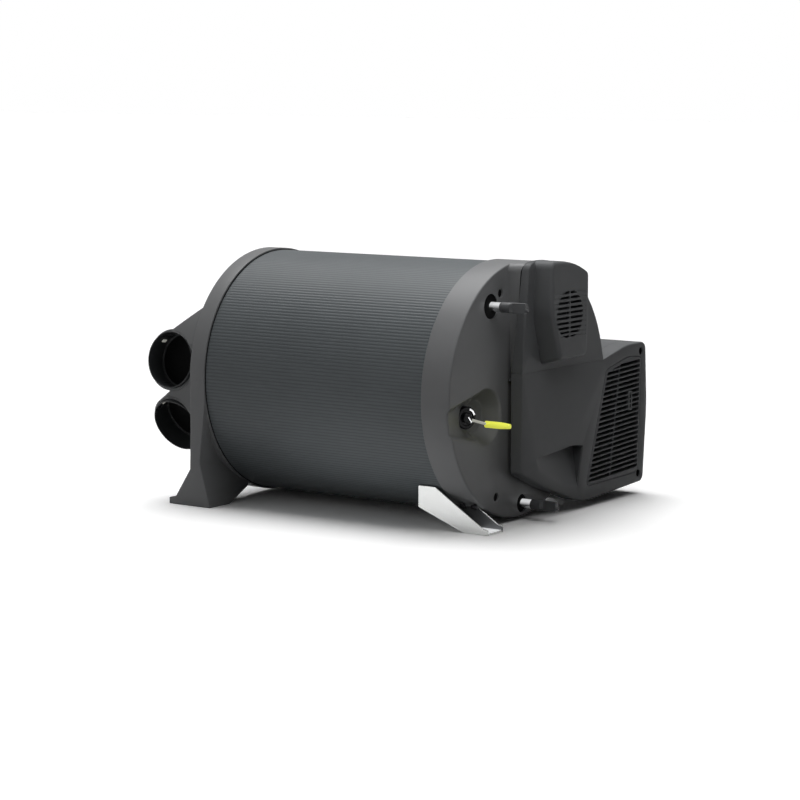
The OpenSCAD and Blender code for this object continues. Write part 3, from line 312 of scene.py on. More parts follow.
def rounded(corners, steps=6):
    """A closed outline of corners (u, v, r). Each corner gives way to the arc of radius r that touches
    both its edges: the arc's centre lies on the bisector, r / sin(half the angle) from the corner."""
    c = np.asarray(corners, float)
    at, r = c[:, :2], c[:, 2:]
    one, two = unit(np.roll(at, 1, 0) - at), unit(np.roll(at, -1, 0) - at)
    half = np.arccos(np.clip((one * two).sum(1, keepdims=True), -1, 1)) / 2
    mid = at + unit(one + two) * r / np.sin(half)
    first, last = at + one * r / np.tan(half) - mid, at + two * r / np.tan(half) - mid
    start = np.arctan2(first[:, 1], first[:, 0])
    turn = (np.arctan2(last[:, 1], last[:, 0]) - start + 3 * np.pi) % (2 * np.pi) - np.pi
    angle = start[:, None] + turn[:, None] * np.linspace(0, 1, steps + 1)
    arcs = mid[:, None] + r[:, None] * np.stack([np.cos(angle), np.sin(angle)], -1)
    line = arcs.reshape(-1, 2)
    return line[np.linalg.norm(line - np.roll(line, 1, 0), axis=1) > 1e-6]


def drawn_in(outline, by):
    """A counter-clockwise outline moved inwards: each point goes along the bisector of its two edges,
    by / (1 + cosine of the turn) times the sum of their normals. by may hold one row per station."""
    edge = unit(np.roll(outline, -1, 0) - outline)
    after = np.stack([-edge[:, 1], edge[:, 0]], -1)
    before = np.roll(after, 1, 0)
    step = (after + before) / (1 + (after * before).sum(1, keepdims=True))
    return outline + np.asarray(by, float)[..., None] * step


def circle(centre, r, count=48):
    """A counter-clockwise circle of count points in the (y, z) plane."""
    turn = np.linspace(0, 2 * np.pi, count, endpoint=False)
    return np.asarray(centre) + r * np.stack([np.cos(turn), np.sin(turn)], -1)


def edge_stations(x, r, steps=4):
    """The x and the inset of a rounded edge of radius r that ends in a face at x: a quarter circle.
    r may hold a value for every point of the outline."""
    a = np.linspace(0, np.pi / 2, steps + 1)
    a = a[:, None] if np.ndim(r) else a
    return x - r + r * np.sin(a), r - r * np.cos(a)


# %% Surfaces
FILL_EPSILON = 1e-7


def rings(rows, cols):
    """Quads between the rows of a grid, each row a closed ring."""
    r, c = np.meshgrid(np.arange(rows - 1), np.arange(cols), indexing="ij")
    n = (c + 1) % cols
    return np.stack([r * cols + c, r * cols + n, (r + 1) * cols + n, (r + 1) * cols + c],
                    -1).reshape(-1, 4)


def quads(rows, cols):
    """Quads of an open grid."""
    r, c = np.meshgrid(np.arange(rows - 1), np.arange(cols - 1), indexing="ij")
    i = r * cols + c
    return np.stack([i, i + 1, i + cols + 1, i + cols], -1).reshape(-1, 4)


def carried(outline, x, by):
    """An outline carried along X: station k lies at x[k] and is drawn in by by[k].
    Either may also give a value for every point of the outline."""
    count = len(outline)
    by = np.asarray(by, float)
    by = np.repeat(by[:, None], count, 1) if by.ndim == 1 else by
    x = np.asarray(x, float)
    x = np.repeat(x[:, None], count, 1) if x.ndim == 1 else x
    ring = drawn_in(outline, by)
    return np.concatenate([x[..., None], ring], -1).reshape(-1, 3), rings(len(x), count)


def inside(points, outline):
    """Even-odd rule: a point is inside if a ray from it crosses the outline an odd number of times."""
    a, b = outline, np.roll(outline, -1, 0)
    y, z = points[:, :1], points[:, 1:]
    spans = (a[:, 1] > z) != (b[:, 1] > z)
    slope = (b[:, 0] - a[:, 0]) / np.where(b[:, 1] == a[:, 1], 1e-12, b[:, 1] - a[:, 1])
    return (spans & (y < a[:, 0] + (z - a[:, 1]) * slope)).sum(1) % 2 == 1


def filled(outline, x, holes=(), spots=()):
    """Triangles over an outline, without its holes. x is a number or a function of (y, z), and spots are
    more points for the triangles to meet at."""
    loops = [outline, *holes]
    ends = np.cumsum([len(p) for p in loops])
    edges = [np.stack([np.arange(e - len(p), e), np.roll(np.arange(e - len(p), e), -1)], -1)
             for p, e in zip(loops, ends)]
    every = np.concatenate([*loops, np.reshape(spots, (-1, 2))])
    made = delaunay_2d_cdt([Vector(p) for p in every.tolist()], np.concatenate(edges).tolist(), [], 1,
                           FILL_EPSILON)
    flat, tris = np.array([tuple(p) for p in made[0]]), np.array(made[2])
    centre = flat[tris].mean(1)
    keep = inside(centre, outline)
    for hole in holes:
        keep &= ~inside(centre, hole)
    depth = x(flat[:, 0], flat[:, 1]) if callable(x) else np.full(len(flat), float(x))
    return np.concatenate([depth[:, None], flat], -1), tris[keep]


def slab(outline, faces, holes=()):
    """A plate between two faces, each a number or a function of (y, z): walls along the outline and its
    holes, and both faces filled."""
    walls = []
    for loop in (outline, *holes):
        x = [np.broadcast_to(face(*loop.T) if callable(face) else face, len(loop)) for face in faces]
        walls.append(carried(loop, x, [0, 0]))
    return walls + [filled(outline, face, holes) for face in faces]


def turned(profile, centre, count=96):
    """A closed profile of (x, radius) points turned about an axis along X through centre = (y, z): each
    point becomes a circle of that radius."""
    profile = np.asarray(profile, float)
    ring = np.concatenate([profile, profile[:1]])
    turn = np.linspace(0, 2 * np.pi, count, endpoint=False)
    out = np.stack([np.repeat(ring[:, :1], count, 1), centre[0] + ring[:, 1:] * np.sin(turn),
                    centre[1] + ring[:, 1:] * np.cos(turn)], -1)
    return out.reshape(-1, 3), rings(len(ring), count)


def bar(profile, centre, count=40):
    """A solid bar: a turned profile whose ends are carried in to the axis."""
    return turned([(profile[0][0], 0), *profile, (profile[-1][0], 0)], centre, count)


# %% Mesh builder
MERGE = 2e-6


def build(name, shells, slot, body="heater", stands_for=(), crisp=32):
    """One piece from surfaces in millimetres. Points that meet are merged, faces are turned outwards,
    and edges that turn by more than crisp degrees stay sharp."""
    points, faces, start = [], [], 0
    for p, f in shells:
        points.append(p)
        faces += (np.asarray(f) + start).tolist()
        start += len(p)
    mesh = bpy.data.meshes.new(name)
    mesh.from_pydata((np.concatenate(points) * MM).tolist(), [], faces)
    work = bmesh.new()
    work.from_mesh(mesh)
    bmesh.ops.remove_doubles(work, verts=work.verts, dist=MERGE)
    bmesh.ops.recalc_face_normals(work, faces=work.faces)
    bmesh.ops.delete(work, geom=[e for e in work.edges if not e.link_faces], context="EDGES")
    loose = sum(1 for e in work.edges if not e.is_manifold)
    work.to_mesh(mesh)
    work.free()
    mesh.shade_smooth()
    mesh.set_sharp_from_angle(angle=math.radians(crisp))
    mesh.materials.append(FINISHES[slot])
    piece = bpy.data.objects.new(name, mesh)
    bpy.context.scene.collection.objects.link(piece)
    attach(piece, body)
    if stands_for:
        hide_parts(*stands_for)
    print(name, "faces", len(mesh.polygons), "open edges", loose)
    return piece


# %% [markdown]
# ## Ribbed jacket
# The drum wears a painted sheet jacket with fine ribs that run from end to end.
# A bump could fake them, but at the drum's edge the ribs show in outline, so they are real here:
# the radius is a raised cosine of the turn, and one long quad spans the drum between two angles.

# %% Jacket
DRUM_R, JACKET_FROM, JACKET_TO, JACKET_WALL = 145.7, 30.0, 360.0, 2.0
RIB_DEPTH, RIB_SAMPLES = 0.22, 8


def polar(r, turn):
    """(y, z) at radius r round the drum's axis, with turn measured from the top towards the rear."""
    return np.stack([r * np.sin(turn), AXIS_Z + r * np.cos(turn)], -1)


turn = np.linspace(0, 2 * np.pi, RIBS * RIB_SAMPLES, endpoint=False)
ribbed = DRUM_R - RIB_DEPTH * (0.5 + 0.5 * np.cos(RIBS * turn)) ** 2
plain = DRUM_R - JACKET_WALL
jacket_rows = [(JACKET_FROM, ribbed), (JACKET_TO, ribbed), (JACKET_TO, plain), (JACKET_FROM, plain),
               (JACKET_FROM, ribbed)]
jacket = np.concatenate([np.column_stack([np.full_like(turn, x), polar(r, turn)]) for x, r in jacket_rows])
build("ribbed_jacket", [(jacket, rings(len(jacket_rows), len(turn)))], "jacket_paint",
      stands_for=["drum_jacket"], crisp=60)

# %% [markdown]
# ## Burner end cap
# The cap is one moulding: a deep band over the drum's end, a flat face with ports, and a funnel for the
# fuel line with a trough that runs out to the rim.
# The face is a flat fill with holes. The funnel has no crisp edge, so it is a patch of a polar grid whose
# depth is a formula of (y, z), softened a little as a mould-maker would.
# A thin black piece stands for the seal under the cover, and black discs in the two blind holes are
# painted shade.

# %% Cap sizes and formulas
CAP_R, CAP_BORE, BAND_X, PLATE_X, CAP_X = 148.0, 145.9, 350.0, 385.0, 388.0
CAP_RIM, BAND_EASE, LIP = 1.8, 0.4, 0.6
FUEL_Y, FUEL_Z = -74.0, 128.5
FUNNEL_R, FUNNEL_FLOOR_R, FUNNEL_DEPTH = 32.0, 19.0, 18.0
TROUGH_HALF, TROUGH_MOUTH, TROUGH_LIP, TROUGH_FLANK, TROUGH_START = 29.0, 14.0, 2.5, 5.0, 0.25
HOT, HOT_R = (-63.66, 252.31), 14.2
COLD, COLD_R = (4.18, 18.97), 10.5
SMALL_HOLES, SMALL_R, SMALL_DEPTH, SMALL_WALL = [(-44.1, 265.7), (-51.1, 33.4)], 5.0, 9.0, 2.0
SIDE_Y, JOINT_Z, COLLAR_W, COLLAR_FOOT, COLLAR_RISE, COLLAR_CURVE = -30.0, 174.0, 9.0, 6.0, 15.4, 2.2
TOP_ROUND, COLLAR_FOOT_Y, SEAM = 9.0, -21.5, 1.5
CAP_COLUMNS, PATCH_FROM, PATCH_TO, PATCH_CORE, PATCH_ROWS = 720, 442, 564, 39.0, 86


def smooth(t):
    """A soft step from 0 to 1: 3 t squared less 2 t cubed, with t held between 0 and 1."""
    t = np.clip(t, 0, 1)
    return t * t * (3 - 2 * t)


def scoop(y, z):
    """How deep the face lies at (y, z): the deeper of a cone round the fuel port and a trough whose
    width and depth both taper from the port to the rim."""
    off = np.hypot(y - FUEL_Y, z - FUEL_Z)
    cone = FUNNEL_DEPTH * np.clip((FUNNEL_R - off) / (FUNNEL_R - FUNNEL_FLOOR_R), 0, 1)
    run = np.clip((FUEL_Y - y) / (FUEL_Y + CAP_R), 0, 1)
    half = TROUGH_HALF + (TROUGH_MOUTH - TROUGH_HALF) * run
    ramp = FUNNEL_DEPTH + (TROUGH_LIP - FUNNEL_DEPTH) * run
    flank = smooth((half - np.abs(z - FUEL_Z)) / TROUGH_FLANK + 0.5)
    return np.maximum(cone, ramp * flank * smooth(run / TROUGH_START))


def softened(grid, passes=3):
    """A grid of heights averaged with its four neighbours, a few times over."""
    for _ in range(passes):
        p = np.pad(grid, 1, mode="edge")
        grid = grid / 2 + (p[:-2, 1:-1] + p[2:, 1:-1] + p[1:-1, :-2] + p[1:-1, 2:]) / 8
    return grid


def collar_top(z):
    """The collar's sloping edge: it rises slowly from the joint, then faster towards the cap's top."""
    rise = np.clip((z - JOINT_Z) / (AXIS_Z + CAP_R - JOINT_Z), 0, 1)
    return CAP_X + COLLAR_FOOT + COLLAR_RISE * rise ** COLLAR_CURVE


def well(loop, x, bottom, lip=0.0):
    """The wall of a hole from a face at x down to bottom, with a rounded lip."""
    xs, ins = edge_stations(x, lip)
    return carried(loop, np.append(xs[::-1], bottom), np.append(-ins[::-1], 0.0))


# %% Cap band and face
cap_turn = np.arange(CAP_COLUMNS) * 2 * np.pi / CAP_COLUMNS
sector = np.arange(PATCH_FROM, PATCH_TO + 1)
outside = np.r_[PATCH_TO:CAP_COLUMNS, 0:PATCH_FROM + 1]


def cap_face(r, x):
    """The patch round the funnel out to radius r, and the outline of the flat rest of that face."""
    radii = np.linspace(PATCH_CORE, r, PATCH_ROWS)
    place = polar(radii[:, None], cap_turn[sector])
    deep = softened(scoop(place[..., 0], place[..., 1]))
    patch = np.concatenate([(x - deep)[..., None], place], -1).reshape(-1, 3)
    rest = np.concatenate([polar(r, cap_turn[outside]), polar(radii[-2:0:-1], cap_turn[PATCH_FROM]),
                           polar(PATCH_CORE, cap_turn[sector]), polar(radii[1:-1], cap_turn[PATCH_TO])])
    return (patch, quads(len(radii), len(sector))), rest


outer_patch, outer_rest = cap_face(CAP_R - CAP_RIM, CAP_X)
rim_drop = np.zeros(CAP_COLUMNS)
rim_drop[sector] = CAP_X - outer_patch[0][-len(sector):, 0]
rim_x, rim_in = edge_stations(CAP_X, CAP_RIM)
band_rows = [(PLATE_X - rim_drop, CAP_BORE), (BAND_X, CAP_BORE), (BAND_X, CAP_R - BAND_EASE),
             (BAND_X + BAND_EASE, CAP_R)]
band_rows += [(x - rim_drop, CAP_R - i) for x, i in zip(rim_x, rim_in)]
band = np.concatenate([np.column_stack([np.broadcast_to(x, CAP_COLUMNS), polar(r, cap_turn)])
                       for x, r in band_rows])
inner_patch, inner_rest = cap_face(CAP_BORE, PLATE_X)
inner_patch[0][-len(sector):, 0] = PLATE_X - rim_drop[sector]

ports = [circle(HOT, HOT_R), circle(COLD, COLD_R, 36)]
blind = [circle(at, SMALL_R, 32) for at in SMALL_HOLES]
bosses = [circle(at, SMALL_R + SMALL_WALL, 32) for at in SMALL_HOLES]
cap = [(band, rings(len(band_rows), CAP_COLUMNS)), outer_patch, inner_patch,
       filled(outer_rest, CAP_X, [drawn_in(p, -LIP) for p in ports + blind]),
       filled(inner_rest, PLATE_X, ports + bosses)]
cap += [well(p, CAP_X, PLATE_X, LIP) for p in ports]
small_floor = CAP_X - SMALL_DEPTH
boss_back = small_floor - SMALL_WALL
for hole, boss in zip(blind, bosses):
    cap += [well(hole, CAP_X, small_floor, LIP), filled(hole, small_floor),
            carried(boss, [PLATE_X, boss_back], [0, 0]), filled(boss, boss_back)]
print("cap band", len(band), "points, deepest at the funnel", round(CAP_X - outer_patch[0][:, 0].min(), 2))

# %% Collar and board posts
POSTS, POST_R, POST_TOP = [(y, z) for y in (0.0, 80.0) for z in (191.0, 255.7)], 3.5, 396.0
SEAL_IN, SEAL_UNDER, SEAL_OVER, HOLE_SHADE_TOP, DISC_GAP = 0.35, 0.4, 0.1, 2.5, 0.05


def arc_corners(r, high_turn, low_turn, count):
    """Points on a circle round the drum's axis as corners without rounding."""
    spot = polar(r, np.linspace(high_turn, low_turn, count))
    return np.concatenate([spot, np.zeros((count, 1))], -1)


def reach(r, z):
    """The turn at which a circle of radius r round the axis comes down to height z."""
    return math.acos((z - AXIS_Z) / r)


bore_r = CAP_R - COLLAR_W
crest = arc_corners(CAP_R, reach(CAP_R, JOINT_Z), math.asin(SIDE_Y / CAP_R), 24)
crest[-1, 2] = TOP_ROUND
collar_line = rounded(np.concatenate([
    crest, [(COLLAR_FOOT_Y, JOINT_Z, 0), (COLLAR_FOOT_Y + COLLAR_W, JOINT_Z, 0)],
    arc_corners(bore_r, math.asin((SIDE_Y + COLLAR_W) / bore_r), reach(bore_r, JOINT_Z), 60)]))
crest_in = np.array([0, 0, 0.25, 0.8])
crest_x = np.array([0, -0.8, -0.25, 0])
collar_z = drawn_in(collar_line, np.repeat(crest_in[:, None], len(collar_line), 1))[..., 1]
collar_x = np.concatenate([np.full((1, len(collar_line)), CAP_X - CAP_RIM),
                           collar_top(collar_z)[1:] - SEAM + crest_x[1:, None]])
cap += [carried(collar_line, collar_x, crest_in),
        filled(drawn_in(collar_line, crest_in[-1]), lambda y, z: collar_top(z) - SEAM),
        filled(collar_line, CAP_X - CAP_RIM)]
cap += [bar([(PLATE_X + 1, POST_R), (POST_TOP, POST_R)], at, 24) for at in POSTS]
build("burner_cap", cap, "cap_plastic", stands_for=["burner_end_cap"])
gasket = slab(drawn_in(collar_line, SEAL_IN), [lambda y, z: collar_top(z) - SEAM - SEAL_UNDER,
                                               lambda y, z: collar_top(z) + SEAL_OVER])
build("cover_gasket", gasket, "black_rubber")
# Black discs that fill the two blind holes to near the face are painted shade.
hole_shade_r = SMALL_R - DISC_GAP
hole_shades = [bar([(small_floor, hole_shade_r), (CAP_X - HOLE_SHADE_TOP, hole_shade_r)], at, 32) for at in SMALL_HOLES]
build("hole_shade_discs", hole_shades, "black_rubber")

# %% [markdown]
# ## Electronics cover
# The cover is a hollow cap over the control board: a wide base that follows the drum's round,
# and a thicker block in front of it with a round field of vent slots.
# Its edges are crisp along the joint and softest along the block's left side, so the rounding is a value
# per outline point.

# %% Cover sizes and outlines
COVER_R, FACE_X, BLOCK_X, WALL = 149.5, 411.0, 436.0, 2.5
VENT_Y, VENT_Z, VENT_R, VENT_ROWS, VENT_SLOT, VENT_BAR = 27.8, 238.0, 29.0, 10, 3.0, 2.0
VENT_PITCH, GROOVE, GROOVE_END = 2 * VENT_R / VENT_ROWS, 0.35, {1: 35.0, -1: 33.0}
GROOVE_HALF, GROOVE_GAP, GROOVE_MARGIN = 0.6, 2.5, 1.5
BLOCK_LOW, BLOCK_LIFT, BLOCK_BEND, BLOCK_LEFT, BLOCK_RIGHT = 181.0, 8.0, 222.0, -11.5, 69.0
BLOCK_FEET = [(9, BLOCK_LOW, 7), (66, BLOCK_LOW, 8), (BLOCK_RIGHT, 234, 20)]
BLOCK_SHOULDER, BLOCK_SUNK, CORE_IN = [(BLOCK_LEFT, 246, 60)], 1.5, 3.0
LEAN_FROM, LEAN_LOW, LEAN_TOP, LEAN_START, LEAN_CURVE = -8.0, -2.5, 6.0, 14.0, 1.3
JOINT_GAP, JOINT_SOFT, BASE_SOFT, SOFT_STEPS, THIN_WALL, THIN_UP_TO = 0.06, 0.25, 2.35, 5, 0.4, 3.0
BLOCK_IN, BLOCK_SOFT, BLOCK_SOFTER, SOFT_FROM, SOFT_OVER = 0.4, 2.0, 2.5, 40.0, 30.0

joint = JOINT_Z + JOINT_GAP
cover_arc = arc_corners(COVER_R, reach(COVER_R, joint), math.asin(SIDE_Y / COVER_R), 24)
cover_arc[0, 2], cover_arc[-1, 2] = 2.0, TOP_ROUND
base_line = rounded(np.concatenate([[(SIDE_Y, joint, 0.6)], cover_arc]), 8)
base_soft = JOINT_SOFT + BASE_SOFT * smooth((base_line[:, 1] - joint - 1) / 4)
base_back = collar_top(base_line[:, 1])
wall_in = np.where(base_line[:, 1] < joint + THIN_UP_TO, THIN_WALL, WALL)
edge_x, edge_in = edge_stations(FACE_X, base_soft, SOFT_STEPS)
base_x = np.vstack([np.full(len(base_line), FACE_X - WALL), base_back, base_back, edge_x])
base_in = np.vstack([wall_in, wall_in, np.zeros(len(base_line)), edge_in])
block_arc = arc_corners(COVER_R - BLOCK_IN, math.asin(BLOCK_RIGHT / COVER_R),
                        math.asin(BLOCK_LEFT / COVER_R), 9)
block_arc[0, 2], block_arc[-1, 2] = 7.0, TOP_ROUND
block_line = rounded(np.concatenate([BLOCK_FEET, block_arc, BLOCK_SHOULDER]), 8)
block_soft = BLOCK_SOFT + BLOCK_SOFTER * smooth((SOFT_FROM - block_line[:, 0]) / SOFT_OVER)
print("cover outline", len(base_line), "points, block", len(block_line))


# %% Cover helpers
def leaning(surface):
    """The left edge of the front face lies back at the joint and comes forward towards the top, while the
    edge at the collar stays. The shift along X is a soft step towards the left, times how far forward a
    point lies, times a lean that grows with the height."""
    p, f = surface
    back = np.where(p[:, 2] > JOINT_Z, collar_top(p[:, 2]), CAP_X)
    near = smooth((LEAN_FROM - p[:, 1]) / (LEAN_FROM - SIDE_Y))
    forward = np.clip((p[:, 0] - back) / (FACE_X - back), 0, 1)
    foot = JOINT_Z + LEAN_START
    rise = np.clip((p[:, 2] - foot) / (AXIS_Z + CAP_R - foot), 0, 1)
    lean = LEAN_LOW + (LEAN_TOP - LEAN_LOW) * rise ** LEAN_CURVE
    return p + (near * forward * lean)[:, None] * (1, 0, 0), f


def lifted(surface):
    """The block's underside slopes: the lower part of each section is squeezed up towards the front."""
    p, f = surface
    low = BLOCK_LOW + BLOCK_LIFT * np.clip((p[:, 0] - FACE_X) / (BLOCK_X - FACE_X), 0, 1)
    squeezed = BLOCK_BEND - (BLOCK_BEND - p[:, 2]) * (BLOCK_BEND - low) / (BLOCK_BEND - BLOCK_LOW)
    z = np.where(p[:, 2] < BLOCK_BEND, squeezed, p[:, 2])
    return np.stack([p[:, 0], p[:, 1], z], -1), f


def vent_slot(row, side):
    """One vent slot: a strip between the middle bar and the round edge of the field."""
    z = VENT_R - VENT_PITCH * (row + 0.5)
    heights = np.linspace(z - VENT_SLOT / 2, z + VENT_SLOT / 2, 5)
    edge = np.sqrt(np.maximum(VENT_R ** 2 - heights ** 2, 1.0))
    strip = np.concatenate([[(VENT_BAR / 2, heights[0])], np.stack([edge, heights], -1),
                            [(VENT_BAR / 2, heights[-1])]])
    strip = strip if side > 0 else (strip * (-1, 1))[::-1]
    return strip + (VENT_Y, VENT_Z)


def vent_groove(row, side):
    """A shallow groove that carries a slot's line on to the edge of the face."""
    z = VENT_R - VENT_PITCH * (row + 0.5)
    start = math.sqrt(max(VENT_R ** 2 - z ** 2, 1.0)) + GROOVE_GAP
    left, right = sorted((side * start, side * GROOVE_END[side]))
    left = max(left, np.interp(z + VENT_Z, *left_edge.T) + GROOVE_MARGIN - VENT_Y)
    low, high = z - GROOVE_HALF, z + GROOVE_HALF
    return np.array([(left, low), (right, low), (right, high), (left, high)]) + (VENT_Y, VENT_Z)


# %% Cover mesh
LEFT_UP_TO = 12.0
left_edge = drawn_in(block_line, block_soft)[:, ::-1]
left_edge = left_edge[(left_edge[:, 1] < LEFT_UP_TO) & (left_edge[:, 0] < VENT_Z + VENT_R)]
left_edge = left_edge[np.argsort(left_edge[:, 0])]
cells = [(row, side) for row in range(VENT_ROWS) for side in (1, -1)]
slots, grooves = [vent_slot(*c) for c in cells], [vent_groove(*c) for c in cells]
grooves = [g for g in grooves if g[1, 0] - g[0, 0] > 1]
block_back = FACE_X - BLOCK_SUNK
edge_x, edge_in = edge_stations(BLOCK_X, block_soft, SOFT_STEPS)
block_x = np.vstack([np.full(len(block_line), block_back), edge_x])
block_in = np.vstack([np.zeros(len(block_line)), edge_in])
core, core_x = drawn_in(block_line, WALL + CORE_IN), [FACE_X + 1, BLOCK_X - WALL]
base = [carried(base_line, base_x, base_in), filled(drawn_in(base_line, base_soft), FACE_X),
        filled(drawn_in(base_line, wall_in), FACE_X - WALL)]
block = [carried(block_line, block_x, block_in),
         filled(drawn_in(block_line, block_soft), BLOCK_X, slots + grooves),
         carried(core, core_x, [0, 0]), filled(core, core_x[0]), filled(core, core_x[1], slots)]
block += [carried(slot, [BLOCK_X, BLOCK_X - WALL], [0, 0]) for slot in slots]
for groove in grooves:
    block += [carried(groove, [BLOCK_X, BLOCK_X - GROOVE], [0, 0]), filled(groove, BLOCK_X - GROOVE)]
cover = [leaning(f) for f in base] + [filled(block_line, block_back)] + [lifted(f) for f in block]
build("vented_cover", cover, "housing_plastic", "cover", ["electronics_cover"])

# %% [markdown]
# ## Burner housing
# The lower housing is a shallow tub screwed to the cap and to the intake box behind it.
# A step behind its left edge leaves the dark joint that shows in the picture, a sloping hand-hold with a
# finger slot is sunk into its face, and a large opening takes the grille.

# %% Housing sizes and hand-hold
HOUSING = [(-30, 58, 6), (14, 38, 40), (100, 8, 120), (247, 14.5, 9), (254.8, 108, 250),
           (250, 186.5, 10), (204.8, 186.5, 120), (148.3, 174, 0.5), (-30, 174, 0.8)]
GRILLE = [(109.5, 26, 5.5), (233.5, 27.5, 10), (238.5, 168.5, 5), (206, 171.5, 60), (155, 160.6, 6)]
HOLD = [(-4, 73, 3), (4, 58, 8), (56, 33, 40), (90, 28, 2), (102, 76, 2), (76, 79, 2)]
HOLD_BACK = [(-5.5, 74, 2), (6, 64, 6), (56, 42, 30), (94.2, 37, 2), (103.9, 77.6, 2), (76, 80.6, 2)]
NOTCHES, NOTCH_R, NOTCH_DEPTH = [(237.8, 175.5), (234.8, 25.0)], 4.6, 4.0
JOINT_X, STEP_X, STEP_IN, HOUSING_EDGE = 388.3, 394.5, 9.0, 2.2
HOLD_FROM, HOLD_TO, HOLD_DEPTH, GRID_CLEAR = -4.0, 90.0, 15.0, 1.5
UNDER_CAP, JOINT_FROM, JOINT_TO = CAP_R - 3, JOINT_Z - 5, CAP_R + 2
LEDGE, GAP, HOLD_LIP, HOLD_WALL, WASHER_TOP = 3.0, 0.5, 0.9, 1.5, 1.5
SLOT_TOP, SLOT_FOOT, SLOT_HEAD, SLOT_PLATE = 1.2, (0.5, 4.0), (-0.9, -1.5), 0.5
FOOT_CLEAR, HEAD_CLEAR = 0.1, 0.3


def hold_floor(y, z):
    """The hand-hold's floor is deepest at its top right and comes up to the face along its left end and
    its lower edge: the depth is the product of how far right and how far up a point lies."""
    low = np.interp(y, [c[0] for c in HOLD[:4]], [c[1] for c in HOLD[:4]])
    top = np.interp(y, [HOLD[0][0], HOLD[5][0], HOLD[4][0]], [HOLD[0][1], HOLD[5][1], HOLD[4][1]])
    up = np.clip((z - low) / np.maximum(top - low, 1e-3), 0, 1)
    return FACE_X - HOLD_DEPTH * np.clip((y - HOLD_FROM) / (HOLD_TO - HOLD_FROM), 0, 1) * up


def hold_back(y, z):
    """The inner side of the hold's floor: a wall's thickness behind it, or level with the tub's inside."""
    return np.minimum(FACE_X - WALL - HOLD_WALL, hold_floor(y, z) - HOLD_WALL)


def with_grid(outline, x, step=4.0):
    """A curved face over an outline: the fill also takes points of a grid, so that it can bend."""
    low, high = outline.min(0), outline.max(0)
    grid = np.stack(np.meshgrid(np.arange(low[0], high[0], step), np.arange(low[1], high[1], step)), -1)
    spots = grid.reshape(-1, 2)
    clear = drawn_in(outline, GRID_CLEAR)
    return filled(outline, x, spots=spots[inside(spots, clear)])


# %% Housing outlines
body_line = rounded(HOUSING, 10)
under_step = STEP_IN * (body_line[:, 0] < UNDER_CAP)
at_joint = (body_line[:, 1] > JOINT_FROM) & (body_line[:, 0] < JOINT_TO)
body_soft = np.where(at_joint, JOINT_SOFT, HOUSING_EDGE)
edge_x, edge_in = edge_stations(FACE_X, body_soft, SOFT_STEPS)
level = np.zeros(len(body_line))
tub_x = np.vstack([level + JOINT_X, level + STEP_X, level + STEP_X, edge_x])
tub_in = np.vstack([under_step, under_step, level, edge_in])
corners = np.array(HOUSING)
skin_in = WALL + STEP_IN * (corners[:, 0] < UNDER_CAP)
skin_line = rounded(np.column_stack([drawn_in(corners[:, :2], skin_in),
                                     np.maximum(corners[:, 2] - skin_in, 0.05)]), 10)
sole = np.stack([skin_line, drawn_in(body_line, under_step)]).reshape(-1, 2)
sole = np.column_stack([np.full(len(sole), JOINT_X), sole])

seat = drawn_in(rounded(GRILLE), -GAP)
mouth = drawn_in(rounded(GRILLE), LEDGE)
hold, hold_far = rounded(HOLD, 8), rounded(HOLD_BACK, 8)
notches = [circle(at, NOTCH_R, 32) for at in NOTCHES]
lip_x, lip_in = edge_stations(FACE_X, HOLD_LIP)
floor_x = hold_floor(*hold.T)
hold_x = np.vstack([np.maximum(lip_x[::-1, None], floor_x), floor_x])
hold_in = np.append(-lip_in[::-1], 0.0)
print("housing outline", len(body_line), "points, hand-hold", len(hold))

# %% Housing mesh
ledge_x, inner_x = FACE_X - WALL, FACE_X - WALL - HOLD_WALL
face_holes = [drawn_in(hold, -HOLD_LIP), *[drawn_in(line, -LIP) for line in (seat, *notches)]]
shell = [carried(body_line, tub_x, tub_in), (sole, rings(2, len(skin_line))),
         carried(skin_line, [inner_x, JOINT_X], [0, 0]),
         filled(drawn_in(body_line, body_soft), FACE_X, face_holes),
         carried(hold, hold_x, hold_in), with_grid(hold, hold_floor), with_grid(hold_far, hold_back),
         carried(hold_far, np.vstack([np.full(len(hold_far), inner_x), hold_back(*hold_far.T)]), [0, 0]),
         filled(skin_line, inner_x, [mouth, hold_far])]
housing = [leaning(f) for f in shell]
housing += [well(seat, FACE_X, ledge_x, LIP), filled(seat, ledge_x, [mouth]),
            carried(mouth, [ledge_x, inner_x], [0, 0])]
notch_floor, washer_r = FACE_X - NOTCH_DEPTH, NOTCH_R - DISC_GAP
for notch in notches:
    housing += [well(notch, FACE_X, notch_floor, LIP), filled(notch, notch_floor)]
build("screw_washers", [bar([(notch_floor, washer_r), (FACE_X - WASHER_TOP, washer_r)], at, 32)
                        for at in NOTCHES], "black_rubber")
build("housing_tub", housing, "housing_plastic", stands_for=["burner_housing"])
foot, head = np.array(HOLD[3][:2]) + SLOT_FOOT, np.array(HOLD[4][:2]) + SLOT_HEAD
near_side = np.array([(FACE_X - SLOT_TOP, *foot), (FACE_X - SLOT_TOP, *head),
                      (hold_floor(*head) + HEAD_CLEAR, *head), (hold_floor(*foot) + FOOT_CLEAR, *foot)])
wedge = np.concatenate([near_side, near_side - (0, SLOT_PLATE, 0)])
build("finger_slot", [(wedge, rings(2, 4)), (wedge, [[0, 1, 2, 3], [4, 5, 6, 7]])], "spigot_plastic")

# %% [markdown]
# ## Intake grille
# The grille is a loose panel of thin slats in a narrow frame. One upright rib ties them together behind,
# and a small latch plate sits near the right edge.
# Each opening is a strip cut to the frame's convex outline, side by side, which keeps its ends parallel
# to the frame. The slats reach back behind the frame, so the gaps between them look deep.

